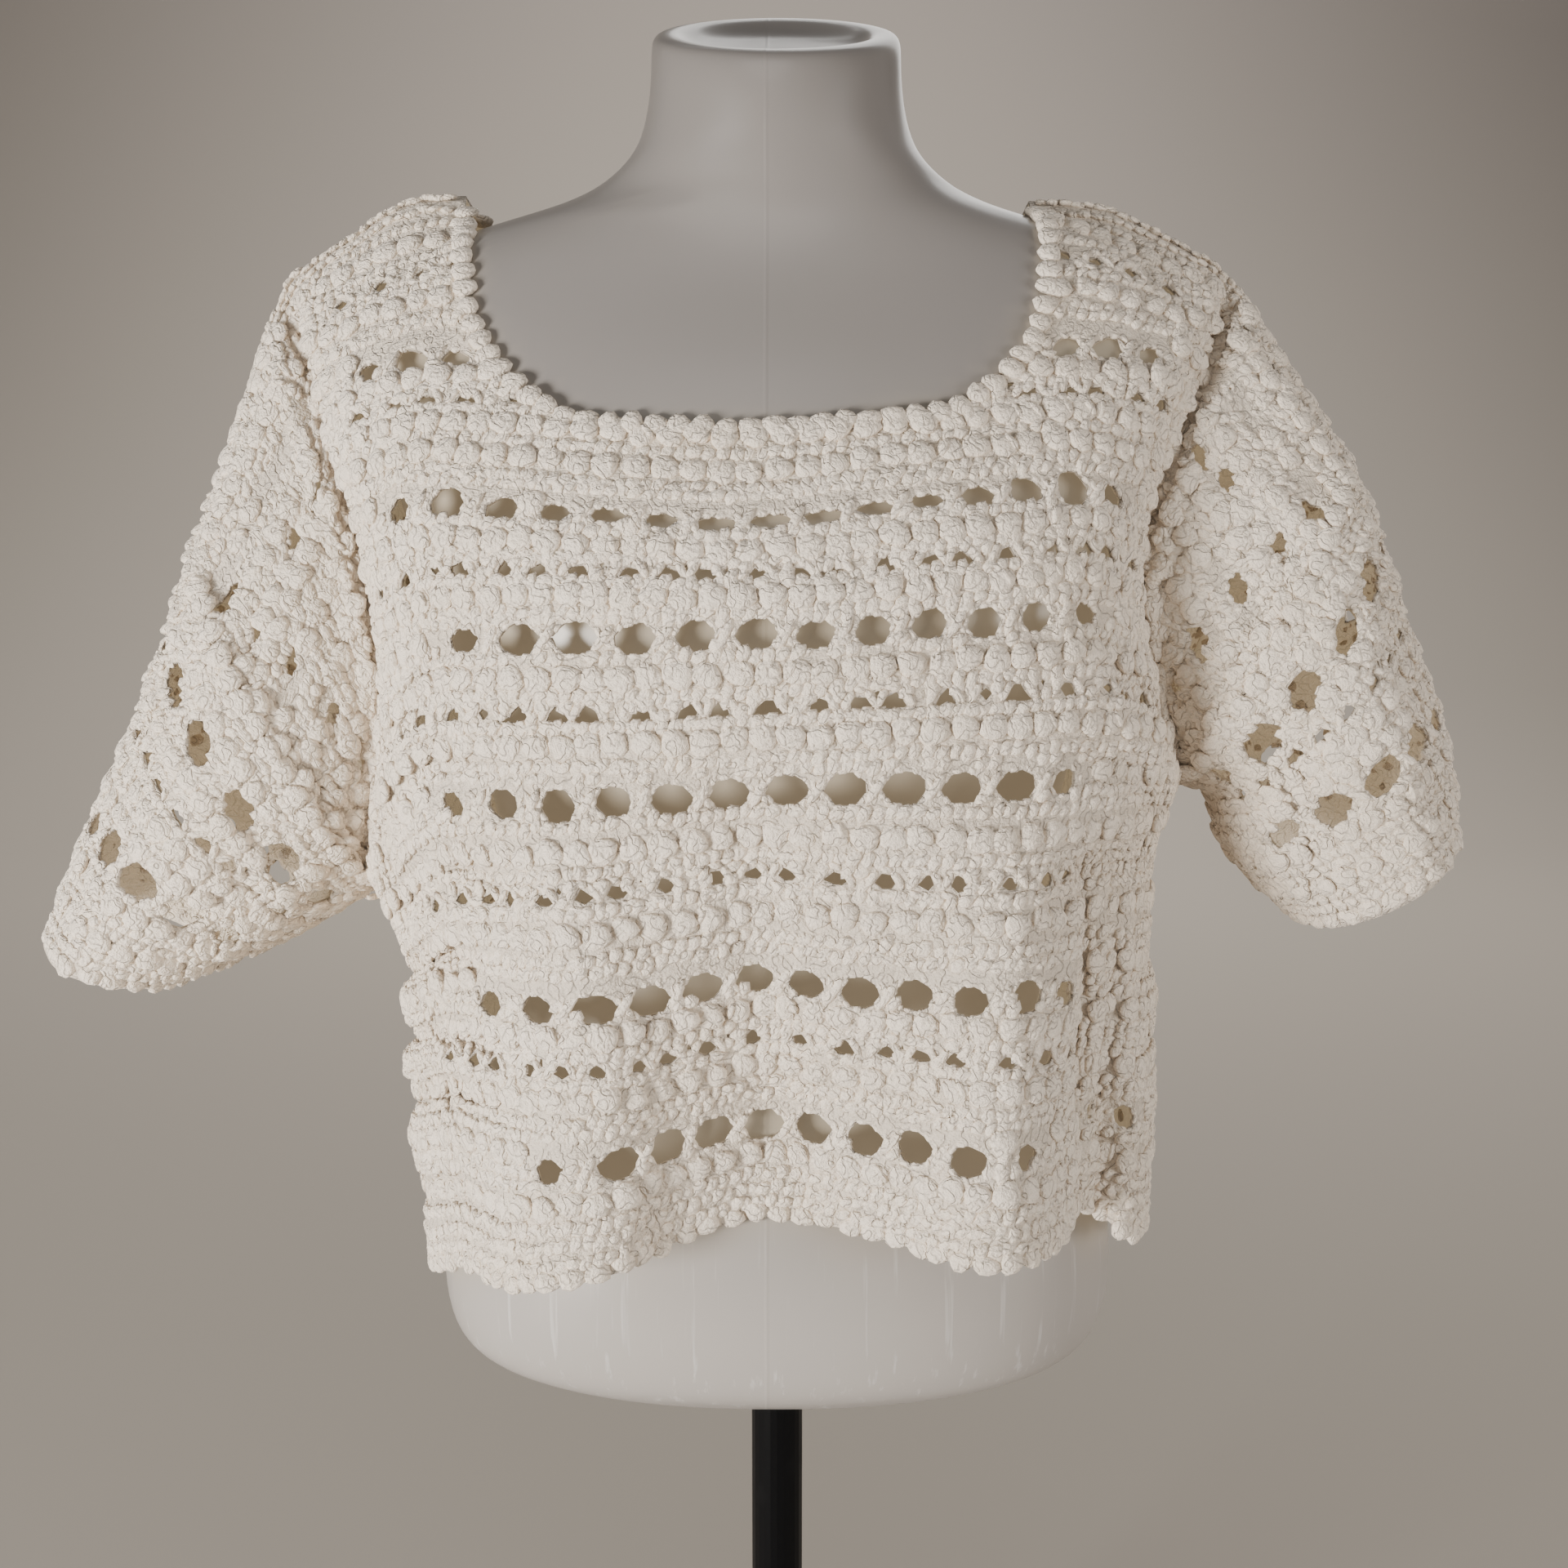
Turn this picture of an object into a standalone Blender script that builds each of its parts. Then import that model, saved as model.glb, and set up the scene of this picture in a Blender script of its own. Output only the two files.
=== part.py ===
"""A cropped open-work sweater worn by a limbless form on a pole and a round base.

Metres, +Z up. The origin is the centre of the base's underside. The front faces -Y.
"""
import math

import bmesh
import bpy
import numpy as np
from mathutils import Vector
from mathutils.bvhtree import BVHTree

MM = 0.001

# Yarn cloth
WALL = 3.6 * MM  # thickness of the knitted wall
BOBBLE_LIFT = 2.6 * MM  # how far a bobble row stands out of the wall
EDGE_LIFT = 2.0 * MM  # how far the border of the neck, hem and cuff stands out
GAP = 0.4 * MM  # between two pieces at a seam
REST = 0.6 * MM  # between the cloth and the form where it rests
EYELET_PITCH = 24.0  # mm between large eyelets along a row
EYELET_WIDE = 15.0  # mm along the row
EYELET_TALL = 13.0  # mm across the row
EYELETS_EACH_SIDE = 12  # on each side of the middle eyelet of a body panel
PANEL_HALF = 300.0  # mm from the middle of a body panel to its seam
NECK_COLUMN = 103.5  # mm from the middle of a panel to the strap's inner edge
CREASE_COLUMN = 200.0  # mm from the middle to the crease beside the arm
ARMHOLE = 284.5  # mm from the shoulder seam to the underarm
SIDE_PART = 62.0  # mm of a row beyond the crease column, below the underarm
SLEEVE_EYELETS = 8  # on each half of a sleeve
UNDERARM_TURN = 0.3  # how far the seam's edge turns outwards under the arm
THIN_SHARE = 0.5  # of the wall where the cloth is gathered under the arm
SOFT_ROUNDS = 5  # how often the folds beside the arms are evened out

# Form, pole and base
FORM_SEGMENTS = 30
POLE_RADIUS = 12.7 * MM
BASE_RADIUS = 140.0 * MM
BASE_THICK = 9.0 * MM
FORM_BOTTOM = 312.0 * MM
NECK_TILT = 0.45  # rise of the neck's top per unit towards the back
NECK_TOP = 926.0 * MM
DISH_RADIUS = 0.74  # of the neck's own radius
DISH_DEPTH = 9.0 * MM

# Sections of the form: height, half width, depth in front, depth behind, squareness
FORM_COLUMNS = ("z", "half", "front", "back", "power")
FORM_SECTIONS = (
    (312, 128, 66, 68, 2.2),
    (314, 142, 78, 80, 2.2),
    (321, 155, 91, 92, 2.2),
    (335, 162, 99, 99, 2.2),
    (360, 164.5, 102, 103, 2.2),
    (400, 161, 100, 104, 2.2),
    (450, 142, 95, 94, 2.2),
    (500, 126, 92, 84, 2.2),
    (540, 124, 94, 83, 2.2),
    (590, 134, 104, 86, 2.2),
    (630, 146, 115, 90, 2.3),
    (660, 154, 119, 92, 2.4),
    (690, 162, 115, 93, 2.4),
    (720, 172, 104, 93, 2.4),
    (750, 182, 91, 92, 2.4),
    (775, 190, 80, 88, 2.3),
    (795, 192.5, 69, 80, 2.2),
    (812, 187, 60, 72, 2.05),
    (826, 172, 54, 65, 1.9),
    (837, 148, 51, 61, 1.75),
    (845, 120, 51, 60, 1.65),
    (851, 98, 51, 60, 1.65),
    (858, 81, 52, 60, 1.75),
    (868, 68, 53, 59, 1.9),
    (880, 60.5, 54, 58, 2.0),
    (897, 57, 55, 57, 2.0),
    (910, 56, 55.5, 56.5, 2.0),
)
NECK_RIM = ((0.55, 1.0), (0.86, 0.985), (1.0, 0.93))  # share of the rise, share of the radius

# Rows of the front panel, from the shoulder seam to the hem, in mm:
# v is the distance down the panel; crease or side points (xl, zl) and (xr, zr) and
# their depth ys; z at the left, middle and right of the chest; depth f of the middle;
# xc, xnl and xnr are where the columns of the middle and of the strap edges lie.
ROW_COLUMNS = (
    "v", "xl", "zl", "xr", "zr", "ys", "zml", "zc", "zmr", "f", "xc", "xnl", "xnr", "g",
)
FRONT_ROWS = (
    (0, -222, 816, 202, 822, 0, 853, 858, 850, 1, -13, -140, 114, 0.0),
    (34, -214, 797, 199, 806, 10, 818, 824, 818, 34, -12, -134, 115, 0.13),
    (68, -203, 769, 190, 781, 20, 785, 788, 787, 64, -10, -125, 109, 0.27),
    (113, -192, 741, 171, 750, 31, 752, 744, 756, 90, -6, -97, 83, 0.42),
    (150, -182, 708, 160, 716, 35, 720, 708, 726, 109, -2, -105, 97, 0.56),
    (212, -172, 641, 159, 662, 34, 662, 666, 674, 122, 0, -108, 100, 0.78),
    (284.5, -187, 543, 184, 592, 1, 589, 598, 600, 123, 0, -101, 103, 1.0),
    (308, -174, 522, 172, 566, 0, 557, 573, 571, 122, 3, -95, 102, 1.0),
    (346, -172, 490, 175, 514, 0, 513, 530, 522, 118, 8, -82, 100, 1.0),
    (414, -173, 422, 178, 441, 0, 447, 463, 459, 107, 12, -72, 100, 1.0),
    (455, -166, 360, 177, 378, 0, 386, 416, 408, 105, 12, -69, 101, 1.0),
)
# Rows of the back panel; f is its depth behind.
BACK_ROWS = (
    (0, -222, 816, 202, 822, 0, 853, 858, 850, 1, -13, -140, 114, 0.0),
    (34, -212, 799, 200, 807, 14, 815, 812, 815, 74, -12, -120, 100, 0.13),
    (68, -206, 776, 194, 784, 24, 788, 785, 788, 86, -10, -108, 96, 0.27),
    (113, -198, 738, 186, 748, 32, 748, 746, 749, 95, -6, -104, 96, 0.42),
    (150, -190, 702, 178, 713, 34, 712, 710, 714, 99, -2, -103, 98, 0.56),
    (212, -177, 636, 168, 660, 30, 650, 652, 655, 101, 0, -103, 101, 0.78),
    (284.5, -187, 543, 184, 592, 1, 581, 583, 587, 103, 0, -102, 102, 1.0),
    (308, -174, 522, 172, 566, 0, 557, 560, 563, 104, 1, -102, 103, 1.0),
    (346, -172, 490, 175, 514, 0, 517, 520, 522, 107, 2, -102, 104, 1.0),
    (414, -173, 422, 178, 441, 0, 447, 450, 452, 112, 3, -101, 104, 1.0),
    (455, -166, 360, 177, 378, 0, 396, 402, 404, 115, 3, -101, 104, 1.0),
)
# Folds that run down a panel: where it is across (mm), its half width, and how far
# it stands out (or in, negative) at the underarm, half way down and at the hem.
FOLD_COLUMNS = ("x", "wide", "top", "mid", "low")
FRONT_FOLDS = (
    (-97, 40, 0, 14, 37),
    (92, 40, 2, 16, 40),
    (-14, 34, 0, 0, -1),
    (137, 13, 0, -10, -20),
    (160, 12, 0, 4, 10),
    (-158, 12, 0, 3, 6),
)
BACK_FOLDS = (
    (-104, 34, 0, 12, 26),
    (6, 42, 0, 10, 24),
    (112, 32, 0, 11, 25),
    (-52, 20, 0, -4, -8),
    (60, 20, 0, -5, -8),
)
# Folds that run across the wearer's right of the front: row, half height, depth
SIDE_RIPPLES = ((312, 13, 5), (352, 13, 5), (392, 12, 5), (430, 11, 4))

# Rings of each sleeve from the seam to the cuff, in mm: distance, top (x, z),
# underside (x, z), depth in front and behind
RING_COLUMNS = ("s", "xt", "zt", "xb", "zb", "front", "back")
RIGHT_RINGS = (
    (0, 255, 742, 184, 592, 62, 58),
    (14, 262, 729, 192, 592, 64, 60),
    (76, 286, 667, 209, 583, 63, 58),
    (136, 308, 612, 221, 553, 60, 56),
    (182, 315, 567, 251, 524, 57, 54),
)
LEFT_RINGS = (
    (0, -263, 703, -187, 543, 62, 58),
    (14, -268, 688, -196, 539, 64, 60),
    (76, -295, 621, -218, 526, 62, 58),
    (136, -323, 563, -246, 513, 60, 56),
    (182, -340, 521, -284, 497, 57, 54),
)

# Large eyelets: the row's distance down the panel, and which are cut in front and
# behind, counted from the middle
EYELET_COLUMNS = ("v", "front_from", "front_to", "back_from", "back_to")
EYELET_ROWS = (
    (68, 5, 7, 0, 7),
    (150, 0, 6, 0, 7),
    (212, 0, 5, 0, 6),
    (278, 0, 5, 0, 6),
    (346, 0, 6, 0, 6),
    (414, 0, 5, 0, 6),
)
# Eyelets beyond the creases, towards the sleeves, on each side: row, count from the middle
OUTER_EYELETS = ((68, 12), (150, 9), (150, 11), (150, 12), (212, 11))
# Eyelet rings of a sleeve: distance from the seam, how many are cut in front, behind
SLEEVE_EYELET_ROWS = ((36, 6, 5), (118, 5, 4))

YARN = (0.86, 0.83, 0.77, 1.0)
FORM_WHITE = (0.83, 0.84, 0.83, 1.0)
POLE_BLACK = (0.012, 0.012, 0.013, 1.0)
BASE_BLACK = (0.015, 0.015, 0.016, 1.0)


def clear_scene():
    for obj in list(bpy.data.objects):
        bpy.data.objects.remove(obj, do_unlink=True)
    for mesh in list(bpy.data.meshes):
        bpy.data.meshes.remove(mesh)
    for mat in list(bpy.data.materials):
        bpy.data.materials.remove(mat)


def material(name, colour, roughness, metallic=0.0):
    mat = bpy.data.materials.new(name)
    mat.use_nodes = True
    shader = mat.node_tree.nodes["Principled BSDF"]
    shader.inputs["Base Color"].default_value = colour
    shader.inputs["Roughness"].default_value = roughness
    shader.inputs["Metallic"].default_value = metallic
    mat.diffuse_color = colour
    return mat


def smooth_table(rows, names):
    """A function that gives every column of a table at any value of its first."""
    data = np.array(rows, float)
    keys = data[:, 0]
    slopes = np.gradient(data, keys, axis=0)

    def at(value):
        value = min(max(value, keys[0]), keys[-1])
        i = int(min(np.searchsorted(keys, value, side="right") - 1, len(keys) - 2))
        h = keys[i + 1] - keys[i]
        t = (value - keys[i]) / h
        a = (2 * t ** 3 - 3 * t ** 2 + 1) * data[i]
        b = (t ** 3 - 2 * t ** 2 + t) * h * slopes[i]
        c = (3 * t ** 2 - 2 * t ** 3) * data[i + 1]
        d = (t ** 3 - t ** 2) * h * slopes[i + 1]
        return dict(zip(names, a + b + c + d))

    return at


def add_mesh(name, verts, faces, mat, angle=40.0):
    mesh = bpy.data.meshes.new(name)
    mesh.from_pydata([tuple(p) for p in verts], [], faces)
    mesh.validate()
    mesh.materials.append(mat)
    shell = bmesh.new()
    shell.from_mesh(mesh)
    bmesh.ops.recalc_face_normals(shell, faces=shell.faces)
    if shell.calc_volume(signed=True) < 0:
        bmesh.ops.reverse_faces(shell, faces=shell.faces)
    shell.to_mesh(mesh)
    shell.free()
    mesh.shade_smooth()
    mesh.set_sharp_from_angle(angle=math.radians(angle))
    obj = bpy.data.objects.new(name, mesh)
    bpy.context.scene.collection.objects.link(obj)
    return obj


# Form

def form_ring(section, scale=1.0, tilt=0.0, top=None):
    """One closed section of the form, counter-clockwise seen from above."""
    ring = []
    for k in range(FORM_SEGMENTS):
        a = 2 * math.pi * k / FORM_SEGMENTS
        c, s = math.cos(a), math.sin(a)
        e = 2.0 / section["power"]
        x = section["half"] * math.copysign(abs(c) ** e, c) * scale
        depth = section["front"] if s < 0 else section["back"]
        y = depth * math.copysign(abs(s) ** e, s) * scale
        z = section["z"] if top is None else top
        ring.append((x * MM, y * MM, z * MM + tilt * y * MM))
    return ring


def form_shape():
    """Points and faces of the closed form with a shallow dish in its tilted neck."""
    names = FORM_COLUMNS
    rings = []
    for row in FORM_SECTIONS:
        section = dict(zip(names, row))
        tilt = NECK_TILT * max(0.0, min(1.0, (section["z"] - 868.0) / 42.0))
        rings.append(form_ring(section, tilt=tilt))
    last = dict(zip(names, FORM_SECTIONS[-1]))
    rise = NECK_TOP / MM - last["z"]
    for share, scale in NECK_RIM:
        rings.append(form_ring(last, scale, NECK_TILT, last["z"] + rise * share))
    for scale, drop in ((0.80, 0.0), (DISH_RADIUS, 0.25), (0.62, 0.8), (0.3, 1.0)):
        level = NECK_TOP / MM - drop * DISH_DEPTH / MM
        rings.append(form_ring(last, scale, NECK_TILT, level))
    verts = [p for ring in rings for p in ring]
    n = FORM_SEGMENTS
    faces = []
    for r in range(len(rings) - 1):
        for k in range(n):
            a, b = r * n + k, r * n + (k + 1) % n
            faces.append((a, b, b + n, a + n))
    faces.append(tuple(reversed(range(n))))
    faces.append(tuple((len(rings) - 1) * n + k for k in range(n)))
    return verts, faces


# Cloth

def bell(value):
    return math.exp(-value * value)


def fold_share(v, fold):
    """How far a fold stands out at a row: from the underarm to the hem."""
    return float(np.interp(v, (212, 278, 365, 455), (0, fold["top"], fold["mid"], fold["low"])))


def ring_point(ring, angle):
    """A point of a sleeve ring: angle 0 on top, pi beneath, positive in front."""
    mid = np.array(((ring["xt"] + ring["xb"]) / 2, (ring["zt"] + ring["zb"]) / 2))
    arm = np.array(((ring["xt"] - ring["xb"]) / 2, (ring["zt"] - ring["zb"]) / 2))
    c, s = math.cos(angle), math.sin(angle)
    e = 2.0 / 2.1
    depth = ring["front"] if s > 0 else ring["back"]
    across = math.copysign(abs(c) ** e, c)
    y = -depth * math.copysign(abs(s) ** e, s)
    x, z = mid + arm * across
    return np.array((x, y, z))


def row_line(row, v, side, folds):
    """Points along one row between the two creases or sides, in mm."""
    xl, xr, ys, f = row["xl"], row["xr"], row["ys"], row["f"]
    mid, half = (xl + xr) / 2, (xr - xl) / 2
    power = 2.35
    points = []
    for k in range(161):
        a = math.pi * (k / 160.0 - 0.5)
        e = 2.0 / power
        s = math.copysign(abs(math.sin(a)) ** e, a)
        x = mid + half * s
        depth = ys + (f - ys) * abs(math.cos(a)) ** e
        for fold in folds:
            fade = max(0.0, min(1.0, (1 - abs(s)) * 9))
            depth += fold_share(v, fold) * bell((x - fold["x"]) / fold["wide"]) * fade
        if side < 0:
            for at, tall, deep in SIDE_RIPPLES:
                cover = max(0.0, min(1.0, (-x - 40) / 60.0)) * max(0.0, min(1.0, (1 - abs(s)) * 12))
                depth -= deep * bell((v - at) / tall) * cover
        knots = (xl, (xl - 110) * 0.5, -10.0, (xr + 95) * 0.5, xr)
        heights = (row["zl"], row["zml"], row["zc"], row["zmr"], row["zr"])
        z = float(np.interp(x, knots, heights))
        points.append((x, side * depth, z))
    line = np.array(points)
    for _ in range(12):
        line[1:-1, 2] = 0.5 * line[1:-1, 2] + 0.25 * (line[:-2, 2] + line[2:, 2])
    return line


def along(line, marks, wanted):
    """Points of a line at lengths, where marks are pairs of column and length."""
    steps = np.linalg.norm(np.diff(line, axis=0), axis=1)
    length = np.concatenate(((0.0,), np.cumsum(steps)))
    where = np.interp(wanted, [m[0] for m in marks], [m[1] for m in marks])
    return np.stack([np.interp(where, length, line[:, i]) for i in range(3)], axis=1)


def extension(crease, edge, side):
    """Points from the crease beside the arm out to the sleeve's seam."""
    middle = (crease + edge) / 2
    middle[1] += side * 9.0
    middle[2] += 4.0
    ts = np.linspace(0, 1, 41)[:, None]
    return (1 - ts) ** 2 * crease + 2 * ts * (1 - ts) * middle + ts ** 2 * edge


def panel_row(table, v, side, folds, columns):
    """The points of one row of a body panel, one for each column, in mm."""
    row = table(v)
    line = row_line(row, v, side, folds)
    steps = np.linalg.norm(np.diff(line, axis=0), axis=1)
    length = np.concatenate(((0.0,), np.cumsum(steps)))
    total = length[-1]
    order = np.argsort(line[:, 0])
    at = [float(np.interp(row[k], line[order, 0], length[order])) for k in ("xnl", "xc", "xnr")]
    if v <= ARMHOLE:
        share = max(0.0, min(1.0, (v - 212) / (ARMHOLE - 212)))
        inset = SIDE_PART * share ** 2
        ends = (inset, total - inset)
    else:
        ends = (SIDE_PART, total - SIDE_PART)
    ends = (min(ends[0], at[0] - 20), max(ends[1], at[2] + 20))
    marks = [(-CREASE_COLUMN, ends[0]), (-NECK_COLUMN, at[0]), (0, at[1])]
    marks += [(NECK_COLUMN, at[2]), (CREASE_COLUMN, ends[1])]
    left = columns < -CREASE_COLUMN
    right = columns > CREASE_COLUMN
    inner = ~(left | right)
    points = np.zeros((len(columns), 3))
    points[inner] = along(line, marks, columns[inner])
    for chosen, rings, sign in ((left, LEFT_RINGS, -1), (right, RIGHT_RINGS, 1)):
        wanted = np.abs(columns[chosen])
        if v <= ARMHOLE:
            crease = along(line, marks, np.array((sign * CREASE_COLUMN,)))[0]
            ring = dict(zip(RING_COLUMNS, rings[0]))
            edge = ring_point(ring, -side * math.pi * row["g"])
            part = extension(crease, edge, side)
            if share > 0:
                tail = line[::sign]
                tail_length = length if sign > 0 else total - length[::-1]
                keep = tail_length >= total - inset
                plain = along(tail[keep], [(0, 0), (1, inset)], np.linspace(0, 1, 41))
                part = part * (1 - share) + plain * share
                part += np.outer(np.linspace(0, 1, 41), edge - part[-1])
        else:
            tail = line[::sign]
            tail_length = length if sign > 0 else total - length[::-1]
            keep = tail_length >= total - SIDE_PART
            part = tail[keep]
        lengths = np.linalg.norm(np.diff(part, axis=0), axis=1).sum()
        points[chosen] = along(part, [(CREASE_COLUMN, 0), (PANEL_HALF, lengths)], wanted)
    return points


def panel_columns():
    marks = [-PANEL_HALF]
    for k in range(-EYELETS_EACH_SIDE, EYELETS_EACH_SIDE + 1):
        marks += [k * EYELET_PITCH - EYELET_WIDE / 2, k * EYELET_PITCH + EYELET_WIDE / 2]
    marks.append(PANEL_HALF)
    return np.array(marks)


def panel_lines():
    """Distances down a panel where its grid has lines, and how far each stands out."""
    rows = [r[0] for r in EYELET_ROWS]
    lines = [(0, 0.6), (16, 0.4), (36, 0.3)]
    for k, v in enumerate(rows):
        lines += [(v - EYELET_TALL / 2, 0.0), (v + EYELET_TALL / 2, 0.0)]
        if k == 0:
            lines += [(113, 0.7)]
        elif k < len(rows) - 1:
            lines += [(v + 21, 1.0), (rows[k + 1] - 21, 1.0)]
        else:
            lines += [(v + 21, 1.0)]
    lines += [(455, EDGE_LIFT / BOBBLE_LIFT)]
    return lines


def grid_normals(points, side):
    """Directions out of the cloth at each point of a grid of points."""
    down = np.gradient(points, axis=0)
    over = np.gradient(points, axis=1)
    normal = np.cross(over, down)
    length = np.linalg.norm(normal, axis=2, keepdims=True)
    normal = normal / np.maximum(length, 1e-12)
    return normal * side


def rest_on_form(points, tree, clear):
    """Moves a grid of points out to where the cloth rests on the form."""
    rows, cols = points.shape[:2]
    for _ in range(6):
        push = np.zeros(points.shape)
        most = np.zeros((rows, cols))
        for i in range(rows):
            for j in range(cols):
                for a in (0.0, 0.5):
                    for b in (0.0, 0.5):
                        if (a and i == rows - 1) or (b and j == cols - 1):
                            continue
                        ii, jj = i + (1 if a else 0), j + (1 if b else 0)
                        corners = {(i, j), (ii, j), (i, jj), (ii, jj)}
                        p = sum(points[c] for c in corners) / len(corners)
                        near, normal, _, dist = tree.find_nearest(Vector(p))
                        height = (Vector(p) - near).dot(normal)
                        depth = clear - (dist if height > 0 else -dist)
                        if depth <= 0:
                            continue
                        for c in corners:
                            if depth > most[c]:
                                most[c] = depth
                                push[c] = np.array(normal) * depth
        if most.max() < 1e-6:
            break
        points = points + push
    return points


def soften(points, rounds, keep):
    """Evens out a grid of points, leaving the ones to keep where they are."""
    for _ in range(rounds):
        moved = points.copy()
        moved[1:-1, 1:-1] = 0.4 * points[1:-1, 1:-1] + 0.15 * (
            points[:-2, 1:-1] + points[2:, 1:-1] + points[1:-1, :-2] + points[1:-1, 2:]
        )
        moved[keep] = points[keep]
        points = moved
    return points


def spacing(points):
    """The shortest step from each point of a grid to the next along its row."""
    steps = np.linalg.norm(np.diff(points, axis=1), axis=2)
    wide = np.full(points.shape[:2], 1.0)
    wide[:, :-1] = np.minimum(wide[:, :-1], steps)
    wide[:, 1:] = np.minimum(wide[:, 1:], steps)
    return wide


def seam_axis(ring, sign):
    """The direction along the arm at the sleeve's seam."""
    across = np.array((ring["xt"] - ring["xb"], 0.0, ring["zt"] - ring["zb"]))
    axis = np.cross(across, (0.0, 1.0, 0.0))
    return axis * math.copysign(1.0, axis[0] * sign) / np.linalg.norm(axis)


def underarm_turn(direction, sign, amount):
    """Turns a direction out of the cloth outwards where the sleeve meets the side."""
    turned = direction + np.array((sign * UNDERARM_TURN * amount, 0.0, 0.0))
    return turned / np.linalg.norm(turned)


def closed_grid(inner, outer, cells):
    """A closed body from two grids of points and a table of which cells are cloth."""
    rows, cols = inner.shape[:2]
    index = {}
    verts = []

    def vert(layer, i, j):
        key = (layer, i, j)
        if key not in index:
            index[key] = len(verts)
            verts.append((inner if layer == 0 else outer)[i, j])
        return index[key]

    faces = []

    def there(i, j):
        return 0 <= i < rows - 1 and 0 <= j < cols - 1 and cells[i, j]

    for i in range(rows - 1):
        for j in range(cols - 1):
            if not cells[i, j]:
                continue
            corner = ((i, j), (i, j + 1), (i + 1, j + 1), (i + 1, j))
            faces.append(tuple(vert(1, *c) for c in reversed(corner)))
            faces.append(tuple(vert(0, *c) for c in corner))
            beside = ((i - 1, j), (i, j + 1), (i + 1, j), (i, j - 1))
            for k, other in enumerate(beside):
                if there(*other):
                    continue
                a, b = corner[k], corner[(k + 1) % 4]
                faces.append((vert(1, *a), vert(1, *b), vert(0, *b), vert(0, *a)))
    return verts, faces


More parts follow.
